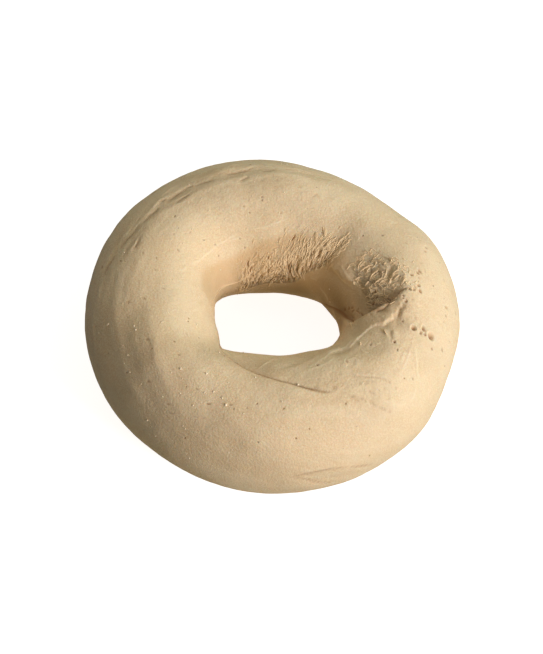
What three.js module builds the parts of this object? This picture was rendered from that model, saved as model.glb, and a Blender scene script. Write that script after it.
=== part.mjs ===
// A ring-shaped roll of plain white dough, shaped from one rope whose two ends lap over each other.
//
// Millimetres, +Z up. The ring rests on a flat underside at Z = 0, with the origin under its middle.
// +X is the side where the rope's ends meet, and -Y is the near side.
//
// A place on the ring is a pair of angles in degrees. The ring angle goes anticlockwise from +X, seen
// from above. The section angle goes round the rope: 0 faces outwards, 90 is on top, 180 faces the hole
// and 270 is underneath. A height of relief is in millimetres, along the rope's own outward normal.

import * as THREE from 'three';
import { ParametricGeometry } from 'three/addons/geometries/ParametricGeometry.js';

// The ring's size at stations of equal steps of the ring angle, the first at +X
const outerRadii = [
	49.3, 50.3, 49.2, 50.1, 53.1, 54.6, 53.6, 51.4, 50.0, 48.6, 48.4, 49.6, 50.7, 51.1, 50.9, 48.7,
];
const holeRadii = [
	17.3, 16.3, 16.3, 14.8, 14.3, 16.2, 18.1, 17.2, 15.6, 14.8, 16.6, 15.2, 14.8, 16.1, 18.7, 18.4,
];

// The rope has slumped a little under its own weight, and stands on a flat
const heightToWidth = 0.9;
const evenness = 0.6; // how far the rope's height keeps to its mean where its width varies
const flatDepth = 2.2; // how far the section's oval would go on below the flat
const flatBlend = 1.2; // how high the flat's edge curves up into the side

// Facets: they are narrower near the join, and round the section where the folds are. A fineness is how
// much narrower they are there than on average
const facetsAround = 112;
const facetsAcross = 52;
const finestRing = 350;
const ringFineness = 0.3;
const finestSection = 128;
const sectionFineness = 0.38;

// Laps, where one layer of dough lies over another. Each run has the upper layer on its left, seen from
// outside with the ring angle rising to the right and the section angle rising away from the viewer.
const foldSeam = {
	run: [
		[ 296, 74 ], [ 285.2, 85 ], [ 277.6, 93 ], [ 267.9, 99.7 ], [ 251.8, 110 ], [ 240, 120.5 ], [ 231, 137 ],
		[ 213, 200 ],
	],
	lip: 0.6, lipRun: 7, roundedOver: 1.6,
	drop: 0.9, dropRun: 5.5, step: 0.7,
	startFade: 0.3, endFade: 0.3,
};
const joinCrease = {
	run: [
		[ 357, 82 ], [ 350, 99 ], [ 345, 117 ], [ 341, 130 ], [ 341, 142 ], [ 352, 157 ], [ 364, 169 ],
		[ 377, 179.5 ], [ 394, 192 ],
	],
	lip: 0.5, lipRun: 3, roundedOver: 1.4,
	drop: 2.8, dropRun: 4, step: 2,
	startFade: 0.2, endFade: 0.45,
};
const tongueTip = {
	run: [
		[ 332, 113.5 ], [ 336.7, 100.5 ], [ 342.1, 94.4 ], [ 351, 86 ],
	],
	lip: 0.4, lipRun: 2.2, roundedOver: 0.5,
	drop: 0.6, dropRun: 1.8, step: 0.5,
	startFade: 0.3, endFade: 0.2,
};
const tornEdge = {
	run: [
		[ 86, 184 ], [ 76, 183 ], [ 68, 180 ], [ 60, 167 ], [ 46, 148 ], [ 36, 130 ],
	],
	lip: 1.1, lipRun: 5, roundedOver: 2,
	drop: 0.4, dropRun: 3, step: 1.5,
	startFade: 0.3, endFade: 0.2,
};
const wallRidge = {
	run: [
		[ 52, 152 ], [ 35, 142.5 ], [ 20, 144.8 ], [ 5, 136 ],
	],
	lip: 1, lipRun: 5, roundedOver: 1.6,
	drop: 0.3, dropRun: 2, step: 1.2,
	startFade: 0.3, endFade: 0.4,
};

// Furrows pressed into the skin, each with a shoulder of dough on its left
const flankFurrow = {
	run: [
		[ 60, 59.5 ], [ 71, 68.4 ], [ 90, 76 ], [ 110, 80 ], [ 136, 77 ], [ 160.5, 64 ], [ 182, 41 ], [ 205, 14.5 ],
	],
	depth: 0.5, halfWidth: 1.5, shoulder: 0.3, shoulderAt: 3,
	startFade: 0.2, endFade: 0.5,
};

// Ridges: soft edges between two faces of the skin that fall away on both sides
const nearLeftRidge = {
	run: [
		[ 184, 91 ], [ 196, 87 ], [ 205, 82.1 ], [ 215.7, 77.3 ], [ 225, 70.2 ], [ 237, 51.4 ], [ 247.3, 25.3 ],
	],
	height: 0.7, reach: 5, rounded: 0.5,
	startFade: 0.3, endFade: 0.45,
};
const farLeftRidge = {
	run: [
		[ 140, 87 ], [ 157.1, 83.4 ], [ 183.2, 78.6 ], [ 204, 74 ],
	],
	height: 0.65, reach: 5, rounded: 0.6,
	startFade: 0.35, endFade: 0.35,
};
const outerLeftRidge = {
	run: [
		[ 170, 70 ], [ 181.7, 65.1 ], [ 205.8, 51.1 ], [ 217.9, 39.5 ], [ 238.4, 13.1 ],
	],
	height: 0.4, reach: 3.5, rounded: 0.6,
	startFade: 0.35, endFade: 0.4,
};
const shoulderRidge = {
	run: [
		[ 352, 90 ], [ 360.7, 87.1 ], [ 371.3, 92.7 ], [ 386, 105 ],
	],
	height: 0.85, reach: 3.2, rounded: 0.4,
	startFade: 0.3, endFade: 0.55,
};

// Swellings and hollows: where the middle is, how far it reaches either way in millimetres along the
// ring and across it, how far it is turned in degrees, and its height
const swellings = {
	lumpByTheJoin: { at: [ 350.5, 83 ], reach: [ 4.2, 3.8 ], turned: 0, height: 1.2 },
	hollowUnderTheTongue: { at: [ 321, 104 ], reach: [ 8, 4 ], turned: - 28, height: - 0.8 },
	hollowByTheLump: { at: [ 342, 89.5 ], reach: [ 3.2, 1.9 ], turned: 25, height: - 0.7 },
	fullnessOfTheUpperRight: { at: [ 66, 92 ], reach: [ 19, 9 ], turned: 0, height: 2.3 },
	fullnessOfTheLowerRight: { at: [ 312, 60 ], reach: [ 9, 5 ], turned: 0, height: 0.35 },
	fullnessOfTheUpperLeft: { at: [ 137, 116 ], reach: [ 14, 8 ], turned: 0, height: 1 },
	fullnessOfTheNearLeft: { at: [ 224, 80 ], reach: [ 13, 8 ], turned: 0, height: 1.2 },
	bulgeOfTheWall: { at: [ 58, 152 ], reach: [ 7, 5 ], turned: 0, height: 0.8 },
	flakeOnTheFlank: { at: [ 107, 69.5 ], reach: [ 8, 2.2 ], turned: 4, height: 0.5 },
	leafDent: { at: [ 286, 0 ], reach: [ 7.5, 1.9 ], turned: - 16, height: - 0.8 },
	fullnessOfTheLeft: { at: [ 172, 120 ], reach: [ 15, 7 ], turned: 0, height: 0.5 },
};

// Rows of soft wrinkles across a band: the band's middle line, its half width in millimetres, and the
// ring angle from one wrinkle to the next
const wallWrinkles = {
	run: [ [ 42, 132 ], [ 60, 150 ], [ 80, 166 ], [ 100, 176 ], [ 120, 187 ] ],
	halfWidth: 4.5, every: 12, depth: 0.3,
	startFade: 0.3, endFade: 0.3,
};
const shadeWrinkles = {
	run: [ [ 350, 106 ], [ 362, 108 ], [ 374, 108 ], [ 386, 110 ] ],
	halfWidth: 4.5, every: 9, depth: 0.35,
	startFade: 0.3, endFade: 0.4,
};

// Long waves that keep the rope from being even: full waves round the ring and round the section
const longWaves = [
	{ roundRing: 2, roundSection: 1, start: 30, height: 0.3 },
	{ roundRing: 5, roundSection: - 1, start: 110, height: 0.22 },
	{ roundRing: 3, roundSection: 3, start: 200, height: 0.18 },
	{ roundRing: 9, roundSection: 4, start: 75, height: 0.1 },
];

const doughColor = 0xe5cda6;
const doughRoughness = 0.72;

const runSteps = 60; // points that stand for a run when a distance to it is measured

const { degToRad, euclideanModulo, smoothstep } = THREE.MathUtils;

const bell = ( x ) => Math.exp( - x * x );

// The difference of two angles, from -180 to 180
const turnBetween = ( a, b ) => euclideanModulo( a - b + 180, 360 ) - 180;

const mean = ( values ) => values.reduce( ( sum, value ) => sum + value, 0 ) / values.length;
const meanWidth = mean( outerRadii ) - mean( holeRadii );

// The rope's section at a ring angle, between the stations, as an oval's middle and half sizes
const stationCurve = new THREE.CatmullRomCurve3(
	outerRadii.map( ( outer, i ) => new THREE.Vector3( outer, holeRadii[ i ], 0 ) ),
	true, 'catmullrom', 0.5,
);

function sectionAt( ringAngle ) {

	const { x: outer, y: hole } = stationCurve.getPoint( ringAngle / 360 );
	const width = outer - hole;
	const evenWidth = THREE.MathUtils.lerp( width, meanWidth, evenness );
	return {
		middle: ( outer + hole ) / 2,
		halfWidth: width / 2,
		halfHeight: ( evenWidth * heightToWidth + flatDepth ) / 2,
	};

}

// A place on the plain rope, with the millimetres that one degree of each angle is worth there
function placeAt( ringAngle, sectionAngle ) {

	const section = sectionAt( ringAngle );
	const ringRadius = section.middle + section.halfWidth * Math.cos( degToRad( sectionAngle ) );
	return {
		ringAngle,
		sectionAngle,
		section,
		perRingDegree: degToRad( ringRadius ),
		perSectionDegree: degToRad( ( section.halfWidth + section.halfHeight ) / 2 ),
	};

}

// A run over the ring: points on a smooth curve through its few given places
function layRun( places ) {

	const curve = new THREE.SplineCurve( places.map( ( [ ring, section ] ) => new THREE.Vector2( ring, section ) ) );
	return curve.getPoints( runSteps );

}

// How a place lies to a run: how many millimetres to its left, and how far along it, from 0 to 1
function lieOf( place, run ) {

	const offsetTo = ( point ) => new THREE.Vector2(
		turnBetween( place.ringAngle, point.x ) * place.perRingDegree,
		turnBetween( place.sectionAngle, point.y ) * place.perSectionDegree,
	);
	const distances = run.map( ( point ) => offsetTo( point ).lengthSq() );
	const nearest = distances.indexOf( Math.min( ...distances ) );
	const before = run[ Math.max( nearest - 1, 0 ) ];
	const after = run[ Math.min( nearest + 1, runSteps ) ];
	const direction = new THREE.Vector2(
		( after.x - before.x ) * place.perRingDegree,
		( after.y - before.y ) * place.perSectionDegree,
	).normalize();
	return {
		left: direction.cross( offsetTo( run[ nearest ] ) ),
		along: nearest / runSteps,
	};

}

// How strong a feature is along its run: nothing at both ends, and full between its fades
function strengthAlong( along, { startFade, endFade } ) {

	return smoothstep( along, 0, startFade ) * ( 1 - smoothstep( along, 1 - endFade, 1 ) );

}

// One layer over another: on the left the upper layer swells to a lip and rounds over at its edge, and
// on the right the lower layer dips as it goes under
function lapRelief( place, lap ) {

	const { left, along } = lieOf( place, lap.laid );
	const onUpper = smoothstep( left, - lap.step, lap.step );
	const upper = lap.lip * ( bell( left / lap.lipRun ) - bell( left / lap.roundedOver ) );
	const lower = - lap.drop * Math.exp( - Math.abs( left ) / lap.dropRun );
	return strengthAlong( along, lap ) * THREE.MathUtils.lerp( lower, upper, onUpper );

}

function furrowRelief( place, furrow ) {

	const { left, along } = lieOf( place, furrow.laid );
	const pressed = - furrow.depth * bell( left / furrow.halfWidth );
	const pushedUp = furrow.shoulder * bell( ( left - furrow.shoulderAt ) / furrow.halfWidth );
	return strengthAlong( along, furrow ) * ( pressed + pushedUp );

}

function ridgeRelief( place, ridge ) {

	const { left, along } = lieOf( place, ridge.laid );
	const away = Math.hypot( left, ridge.rounded ) - ridge.rounded;
	return strengthAlong( along, ridge ) * ridge.height * Math.exp( - away / ridge.reach );

}

function swellingRelief( place, { at: [ ring, section ], reach: [ reachAlong, reachAcross ], turned, height } ) {

	const offset = new THREE.Vector2(
		turnBetween( place.ringAngle, ring ) * place.perRingDegree,
		turnBetween( place.sectionAngle, section ) * place.perSectionDegree,
	).rotateAround( new THREE.Vector2(), degToRad( - turned ) );
	return height * bell( Math.hypot( offset.x / reachAlong, offset.y / reachAcross ) );

}

// Wrinkles cross their band, so the wave runs along the ring, and is deepest in the band's middle
function wrinkleRelief( place, band ) {

	const { left, along } = lieOf( place, band.laid );
	const wave = Math.cos( 2 * Math.PI * turnBetween( place.ringAngle, band.run[ 0 ][ 0 ] ) / band.every );
	return band.depth * strengthAlong( along, band ) * bell( left / band.halfWidth ) * wave;

}

function waveRelief( place, { roundRing, roundSection, start, height } ) {

	return height * Math.sin( degToRad( roundRing * place.ringAngle + roundSection * place.sectionAngle + start ) );

}

const withRun = ( feature ) => ( { ...feature, laid: layRun( feature.run ) } );
const laps = [ foldSeam, joinCrease, tongueTip, tornEdge, wallRidge ].map( withRun );
const furrows = [ flankFurrow ].map( withRun );
const ridges = [ nearLeftRidge, farLeftRidge, outerLeftRidge, shoulderRidge ].map( withRun );
const wrinkleBands = [ wallWrinkles, shadeWrinkles ].map( withRun );

// The height of all the relief at a place
function reliefAt( place ) {

	const total = ( relief, features ) => features.reduce( ( sum, feature ) => sum + relief( place, feature ), 0 );
	return total( lapRelief, laps )
		+ total( furrowRelief, furrows )
		+ total( ridgeRelief, ridges )
		+ total( swellingRelief, Object.values( swellings ) )
		+ total( wrinkleRelief, wrinkleBands )
		+ total( waveRelief, longWaves );

}

// Height above the table: dough that would be below it is flat on it, and the flat's edge is a soft curve
function settled( height ) {

	if ( height <= - flatBlend ) return 0;
	if ( height >= flatBlend ) return height;
	return ( height + flatBlend ) ** 2 / ( 4 * flatBlend );

}

// An angle for a part of a full turn, with the angles closer together round the finest one
function closerRound( part, finest, fineness ) {

	return 360 * part - THREE.MathUtils.radToDeg( fineness * Math.sin( 2 * Math.PI * part - degToRad( finest ) ) );

}

// The ring's surface over two parameters from 0 to 1, round the ring and round the section
function surfacePoint( roundRing, roundSection, target ) {

	const sectionAngle = closerRound( roundSection, finestSection, sectionFineness );
	const place = placeAt( closerRound( roundRing, finestRing, ringFineness ), sectionAngle );
	const { middle, halfWidth, halfHeight } = place.section;
	const outward = Math.cos( degToRad( sectionAngle ) );
	const upward = Math.sin( degToRad( sectionAngle ) );
	const normal = new THREE.Vector2( outward / halfWidth, upward / halfHeight ).setLength( reliefAt( place ) );
	const ringRadius = middle + halfWidth * outward + normal.x;
	const height = settled( halfHeight - flatDepth + halfHeight * upward + normal.y );
	target.set(
		ringRadius * Math.cos( degToRad( place.ringAngle ) ),
		ringRadius * Math.sin( degToRad( place.ringAngle ) ),
		height,
	);

}

// Sets a solid down on the table with the middle of its box over the origin
function setOnOrigin( geometry ) {

	geometry.center();
	return geometry.translate( 0, 0, - geometry.boundingBox.min.z );

}

function makeDough() {

	return new THREE.MeshStandardMaterial( { color: doughColor, roughness: doughRoughness, metalness: 0 } );

}

function makeBagel() {

	const ring = new ParametricGeometry( surfacePoint, facetsAround, facetsAcross );
	const bagel = new THREE.Mesh( setOnOrigin( ring ), makeDough() );
	bagel.name = 'bagel';
	return bagel;

}

const group = new THREE.Group();
group.add( makeBagel() );

export default group;
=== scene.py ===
import bpy
import math
import numpy as np
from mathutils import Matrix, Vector


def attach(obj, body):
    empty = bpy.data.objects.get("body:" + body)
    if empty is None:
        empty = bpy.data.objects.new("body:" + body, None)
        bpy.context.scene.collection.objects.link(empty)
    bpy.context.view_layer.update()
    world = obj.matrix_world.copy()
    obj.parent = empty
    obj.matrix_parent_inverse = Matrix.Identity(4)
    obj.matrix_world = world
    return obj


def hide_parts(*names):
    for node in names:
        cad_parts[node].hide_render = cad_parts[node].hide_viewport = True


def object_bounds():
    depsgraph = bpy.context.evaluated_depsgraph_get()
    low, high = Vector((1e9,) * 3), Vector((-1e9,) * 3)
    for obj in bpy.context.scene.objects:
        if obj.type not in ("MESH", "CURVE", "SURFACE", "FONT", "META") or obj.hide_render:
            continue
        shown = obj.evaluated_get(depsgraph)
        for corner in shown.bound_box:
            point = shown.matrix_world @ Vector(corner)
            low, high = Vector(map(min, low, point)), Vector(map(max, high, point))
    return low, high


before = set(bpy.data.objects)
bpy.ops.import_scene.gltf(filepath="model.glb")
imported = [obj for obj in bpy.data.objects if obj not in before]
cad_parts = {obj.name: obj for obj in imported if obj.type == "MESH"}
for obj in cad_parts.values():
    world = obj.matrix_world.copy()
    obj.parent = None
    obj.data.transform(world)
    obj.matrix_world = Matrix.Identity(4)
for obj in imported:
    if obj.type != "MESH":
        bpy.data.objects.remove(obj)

# A ring of plain bagel dough, shaped from one rope and not yet boiled or baked.
# A place on the ring is a ring angle, anticlockwise from +X seen from above, and a section angle
# round the rope: 0 faces outwards, 90 is the crest, 180 faces the hole. Angles are in degrees and
# the ring's sizes in millimetres; only finished meshes, lights and the camera are in metres.

cadLow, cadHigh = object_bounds()
millimetre = 0.001
cadSize = [round((high - low) / millimetre, 1) for low, high in zip(cadLow, cadHigh)]
print("frame loaded: the ring is", cadSize, "mm")


# Small formulas on whole arrays

latticeSteps = (12.9898, 78.233, 37.719, 4.131)  # how fast the sine turns with i, j, k and the seed
latticeScale = 43758.5453


def bell(x):
    # one at 0, and down to nothing on both sides within about 2
    return np.exp(-np.square(x))


def smooth(x, low, high):
    # 0 up to low, 1 from high on, and an S curve between them
    part = np.clip((x - low) / (high - low), 0.0, 1.0)
    return part * part * (3 - 2 * part)


def turnBetween(a, b):
    # the difference of two angles, from -180 to 180
    return (a - b + 180.0) % 360.0 - 180.0


def valueAt(table, angle, period=None):
    # a table of angles and their values, joined by straight lines
    return np.interp(angle, list(table), list(table.values()), period=period)


def lattice(i, j, k, seed):
    # a number from 0 to 1 for each whole-numbered corner: the fraction of a large sine
    byI, byJ, byK, bySeed = latticeSteps
    wave = np.sin(i * byI + j * byJ + k * byK + seed * bySeed) * latticeScale
    return wave - np.floor(wave)


def softNoise(x, y, z=0.0, seed=0):
    # -1 to 1: random values at the corners of a unit lattice, joined by S curves on each axis
    x, y, z = np.broadcast_arrays(x, y, z)
    cell = [np.floor(axis) for axis in (x, y, z)]
    blend = [smooth(axis - low, 0, 1) for axis, low in zip((x, y, z), cell)]
    total = 0.0
    for corner in np.ndindex(2, 2, 2):
        share = 1.0
        for step, weight in zip(corner, blend):
            share = share * (weight if step else 1 - weight)
        total = total + share * lattice(*(low + step for low, step in zip(cell, corner)), seed)
    return 2 * total - 1


def cubicThrough(before, start, end, after, w):
    # from start to end as w goes from 0 to 1; the end slopes are half the difference of the
    # neighbours
    slopeIn, slopeOut = (end - before) / 2, (after - start) / 2
    cubic = 2 * start - 2 * end + slopeIn + slopeOut
    square = 3 * end - 3 * start - 2 * slopeIn - slopeOut
    return cubic * w**3 + square * w**2 + slopeIn * w + start


def closedSpline(values, turns):
    # a smooth closed curve through equally spaced values
    values = np.asarray(values, float)
    place = (turns % 1.0) * len(values)
    first = np.floor(place).astype(int) % len(values)
    around = (values[(first + step) % len(values)] for step in (-1, 0, 1, 2))
    return cubicThrough(*around, place - np.floor(place))


def openRun(places, steps=60):
    # points on a smooth open curve through a few places, with the end places doubled
    places = np.asarray(places, float)
    place = np.linspace(0, len(places) - 1, steps + 1)
    first = np.minimum(np.floor(place).astype(int), len(places) - 2)
    around = (places[np.clip(first + step, 0, len(places) - 1)] for step in (-1, 0, 1, 2))
    return cubicThrough(*around, (place - first)[:, None])


# The rope

rope = {
    # radii from +X, at equal steps round the ring
    "outerRadii": [49.3, 50.3, 49.2, 50.1, 53.1, 54.6, 53.6, 51.4, 50, 48.6, 48.4, 49.6, 50.7, 51.1,
        50.9, 48.7],
    "holeRadii": [17.3, 16.3, 16.3, 14.8, 14.3, 16.2, 18.1, 17.2, 15.6, 14.8, 16.6, 15.2, 14.8,
        16.1, 18.7, 18.4],
    "heightToWidth": 0.9,  # the soft rope has slumped
    "evenness": 0.6,  # how far its height keeps to the mean where its width varies
    "flatDepth": 2.2,  # how far its oval would go on below the table
    "flatBlend": 1.2,  # how high the foot's edge curves up
    "quadsAround": 500,
    "quadsAcross": 198,
    # how dense the grid's lines are at a few ring angles, and at a few section angles for ring
    # angles 0, 90, 180 and 270
    "densityAround": {0: 1.9, 28: 1.7, 40: 1.5, 120: 1.4, 140: 1.05, 190: 0.85, 285: 1, 305: 1.4,
                      330: 1.9},
    "densityAcross": [
        {0: 0.6, 35: 1.1, 70: 2.3, 130: 2.3, 155: 1.7, 200: 1.1, 215: 0.4, 260: 0.2, 325: 0.35},
        {0: 0.5, 60: 1.2, 100: 1.3, 125: 1.7, 140: 2.4, 190: 2.4, 203: 1.2, 215: 0.4, 260: 0.2,
         325: 0.3},
        {0: 0.9, 80: 1.5, 180: 1.7, 205: 0.9, 235: 0.4, 260: 0.25, 290: 0.3, 325: 0.5},
        {0: 1, 25: 1.3, 80: 1.9, 130: 1.9, 190: 1.3, 210: 0.7, 235: 0.4, 260: 0.25, 290: 0.3,
         325: 0.6},
    ],
}


class Skin:
    # the plain rope's surface as arrays over the grid, and what the features below add to it

    def __init__(self, ring, section):
        self.ring, self.section = ring, section
        outer = closedSpline(rope["outerRadii"], ring / 360)
        hole = closedSpline(rope["holeRadii"], ring / 360)
        meanWidth = np.mean(rope["outerRadii"]) - np.mean(rope["holeRadii"])
        evenWidth = (outer - hole) + rope["evenness"] * (meanWidth - (outer - hole))
        self.middle, self.halfWidth = (outer + hole) / 2, (outer - hole) / 2
        self.halfHeight = (evenWidth * rope["heightToWidth"] + rope["flatDepth"]) / 2
        self.outward, self.upward = np.cos(np.radians(section)), np.sin(np.radians(section))
        # millimetres to a degree of ring angle, and of section angle
        self.perRing = np.radians(self.middle + self.halfWidth * self.outward)
        self.perSection = np.radians((self.halfWidth + self.halfHeight) / 2)
        self.height = np.zeros_like(ring)  # relief along the outward normal
        # painted shade: darkens by how deep in a fold, slit, tear or pit a point lies
        self.creviceShade = np.zeros_like(ring)  # how deep in a fold, slit or pit
        # pale is paler dry skin and flour, and painted highlight on raised lines, rims and thin
        # walls
        self.pale = np.zeros_like(ring)  # dry edges and floured skin
        self.streak = np.zeros_like(ring)  # light and dark bands along the rope
        self.torn = np.zeros_like(ring)  # how torn into threads
        self.threadAcross = np.zeros_like(ring)  # millimetres across and along the threads
        self.threadAlong = np.zeros_like(ring)

    def around(self, ring, section, ringReach, sectionReach):
        # the points within so many degrees of a place, and their offsets from it in millimetres;
        # each feature asks for the few widths or radii beyond which it adds nothing
        byRing, bySection = turnBetween(self.ring, ring), turnBetween(self.section, section)
        near = (np.abs(byRing) < ringReach) & (np.abs(bySection) < sectionReach)
        return near, byRing[near] * self.perRing[near], bySection[near] * self.perSection[near]

    def roundPlace(self, ring, section, reach):
        # the same for a reach in millimetres; a degree is never less than a quarter of one
        return self.around(ring, section, 4 * reach, 4 * reach)

    def lieOf(self, run, reach, steps=60):
        # the points within reach of a run, how many millimetres they lie to its left, and how far
        # along it, 0 to 1, by the nearest of the run's own points and its direction there
        places = openRun(run, steps)
        middle = places[len(places) // 2]
        span = np.abs(turnBetween(places, middle)).max(0) + 4 * reach
        near = self.around(*middle, *span)[0]
        ring, section = self.ring[near], self.section[near]
        perRing, perSection = self.perRing[near], self.perSection[near]
        best = np.full(ring.shape, np.inf)
        left, along = np.full(ring.shape, np.inf), np.zeros_like(ring)
        last = len(places) - 1
        for index, place in enumerate(places):
            across = places[min(index + 1, last)] - places[max(index - 1, 0)]
            x = turnBetween(ring, place[0]) * perRing
            y = turnBetween(section, place[1]) * perSection
            distance = x * x + y * y
            nearer = distance < best
            best = np.where(nearer, distance, best)
            tangentX, tangentY = across[0] * perRing, across[1] * perSection
            length = np.hypot(tangentX, tangentY)
            left = np.where(nearer, (tangentX * y - tangentY * x) / length, left)
            ahead = (tangentX * x + tangentY * y) / length**2 * 2  # the tangent spans two steps
            along = np.where(nearer, (index + np.clip(ahead, -0.5, 0.5)) / last, along)
        return near, left, np.clip(along, 0, 1)

    def mark(self, near, creviceShade=0.0, pale=0.0):
        # darkens points with painted shade, or pales them with dry skin and painted highlight,
        # keeping whatever is stronger there
        self.creviceShade[near] = np.maximum(self.creviceShade[near], np.minimum(creviceShade, 1))
        self.pale[near] = np.maximum(self.pale[near], pale)

    def stamp(self, near, group, share):
        # adds a group's height and its painted shade or pale mark, all by the same share
        self.height[near] += group["height"] * share
        self.mark(near, creviceShade=group.get("dark", 0) * share, pale=group.get("pale", 0) * share)

    def point(self):
        # the skin's points: the oval plus the relief along its normal, and flat where it meets
        # the table
        normalOut, normalUp = self.outward / self.halfWidth, self.upward / self.halfHeight
        length = np.hypot(normalOut, normalUp)
        radius = self.middle + self.halfWidth * self.outward + self.height * normalOut / length
        raised = self.halfHeight * (1 + self.upward) - rope["flatDepth"]
        raised = raised + self.height * normalUp / length
        blend = rope["flatBlend"]
        curved = np.square(np.maximum(raised + blend, 0)) / (4 * blend)
        settled = np.where(raised < blend, curved, raised)
        angle = np.radians(self.ring)
        return np.stack([radius * np.cos(angle), radius * np.sin(angle), settled], -1)


def spacedAngles(count, density):
    # angles round a full turn, closer together where the density is higher: they cut its running
    # total into equal parts
    fine = np.linspace(0, 360, 1441)
    weight = valueAt(density, fine, period=360)
    total = np.concatenate([[0], np.cumsum((weight[1:] + weight[:-1]) / 2)])
    return np.interp(np.arange(count) / count * total[-1], total, fine)


def sectionLines(ring):
    # each ring angle's own section angles: two neighbouring tables of them, blended by an S curve
    tables = np.array([spacedAngles(rope["quadsAcross"], table) for table in rope["densityAcross"]])
    place = ring / 360 * len(tables)
    first = np.floor(place).astype(int) % len(tables)
    blend = smooth(place - np.floor(place), 0, 1)[:, None]
    return (1 - blend) * tables[first] + blend * tables[(first + 1) % len(tables)]


def strength(along, feature):
    # nothing at both ends of a run, and full between its fades
    return smooth(along, 0, feature["fadeIn"]) * (1 - smooth(along, 1 - feature["fadeOut"], 1))


# Folds, where one layer of dough lies over another: the upper layer is on the run's left. Each
# fold takes from the plain one what it doesn't say itself

plainFold = {
    "groove": 0, "grooveWidth": 0.4, "dark": 0, "darkWidth": 1.3,  # times the groove's width
    "fadeIn": 0.3, "fadeOut": 0.2, "crinkleAcross": 0.4,
}
folds = {
    "foldSeam": {
        "run": [(296, 74), (288.8, 81.2), (285.2, 85), (277.6, 93), (272.4, 96.5), (267.9, 99.7),
            (258.2, 106), (251.8, 110), (245.6, 115), (240, 120.5), (231, 137), (222, 168),
            (213, 200)],
        "lip": 0.3, "lipRun": 7, "roundedOver": 0.5, "drop": 0.7, "dropRun": 5.5, "step": 0.2,
        "groove": 0.35, "grooveWidth": 0.22, "fadeOut": 0.3, "dark": 0.6, "crinkle": 0.12,
        "crinkles": 22,
    },
    "joinCrease": {
        "run": [(357, 82), (354.5, 92), (350, 99), (348.5, 107), (345, 117), (341, 130), (341, 142),
            (352, 157), (364, 169), (377, 179.5), (394, 192)],
        "lip": 0.7, "lipRun": 2.8, "roundedOver": 0.8, "drop": 3.1, "dropRun": 4, "step": 0.3,
        "groove": 0.2, "grooveWidth": 0.25, "fadeIn": 0.2, "fadeOut": 0.45, "dark": 0.4,
        "crinkle": 0.1, "crinkles": 20,
    },
    "joinSecondCrease": {
        "run": [(342.5, 114.5), (343.7, 111.3), (344.6, 106.8), (346.1, 103.5), (347.5, 101.3),
            (349.6, 97.5)],
        "lip": 0.2, "lipRun": 0.9, "roundedOver": 0.3, "drop": 0.5, "dropRun": 0.7, "step": 0.16,
        "groove": 0.25, "grooveWidth": 0.22, "fadeOut": 0.3, "dark": 0.6, "crinkle": 0.08,
        "crinkles": 6,
    },
    "tongueEdge": {
        "run": [(308, 119), (313.9, 118.6), (318.7, 119.1), (323.6, 118.9), (329.8, 115.6),
            (333.6, 111.8), (336.5, 106)],
        "lip": 0.05, "lipRun": 1.6, "roundedOver": 0.2, "drop": 0.15, "dropRun": 2.4, "step": 0.12,
        "crinkle": 0.12, "crinkles": 9,
    },
    "tongueTip": {
        "run": [(332, 113.5), (334.5, 109.3), (336.7, 100.5), (339.7, 96.5), (342.1, 94.4),
            (345.1, 91.5), (348.7, 88.5), (351, 86)],
        "lip": 0.3, "lipRun": 2.2, "roundedOver": 0.2, "drop": 0.45, "dropRun": 1.4, "step": 0.12,
        "crinkle": 0.4, "crinkles": 20,
    },
    "tornEdge": {
        "run": [(86, 184), (76, 183), (68, 180), (60, 167), (54, 159), (46, 148), (36, 130)],
        "lip": 0.9, "lipRun": 5, "roundedOver": 1.8, "drop": 0.1, "dropRun": 2, "step": 0.8,
        "crinkle": 0.3, "crinkles": 12,
    },
    "wallRidge": {
        "run": [(38, 150), (32, 146.5), (26, 145), (18, 144), (11, 140.5), (4, 135)], "lip": 1,
        "lipRun": 5, "roundedOver": 0.8, "drop": 0.3, "dropRun": 2, "step": 0.4, "fadeOut": 0.4,
        "crinkle": 0.35, "crinkles": 10,
    },
    "tongueSkin": {
        "run": [(308, 131), (300.3, 127), (293, 121.8), (286, 117.3), (279.6, 113.7), (271.2, 109)],
        "lip": 0, "lipRun": 1, "roundedOver": 0.4, "drop": 0.35, "dropRun": 2.5, "step": 0.22,
        "fadeIn": 0.2, "fadeOut": 0.3, "crinkle": 0.3, "crinkles": 9,
    },
}


def addFold(skin, fold):
    # the left side swells to a lip and rounds over at its edge, the right side dips as it goes
    # under, and a fine groove runs between them; the edge crinkles to and fro
    fold = {**plainFold, **fold}
    near, left, along = skin.lieOf(fold["run"], 2.2 * max(fold["lipRun"], fold["dropRun"]))
    crinkle = softNoise(fold["crinkles"] * along, fold["crinkleAcross"] * left)
    left = left + fold["crinkle"] * crinkle
    onUpper = smooth(left, -fold["step"], fold["step"])
    upper = fold["lip"] * (bell(left / fold["lipRun"]) - bell(left / fold["roundedOver"]))
    lower = -fold["drop"] * np.exp(-np.abs(left) / fold["dropRun"])
    groove = fold["groove"] * bell(left / fold["grooveWidth"])
    share = strength(along, fold)
    skin.height[near] += share * (onUpper * upper + (1 - onUpper) * lower - groove)
    # painted shade along the groove
    darkWidth = fold["darkWidth"] * fold["grooveWidth"]
    skin.mark(near, creviceShade=fold["dark"] * share * bell(left / darkWidth))


# Furrows pressed into the skin, with a shoulder of dough pushed up on the left

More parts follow.
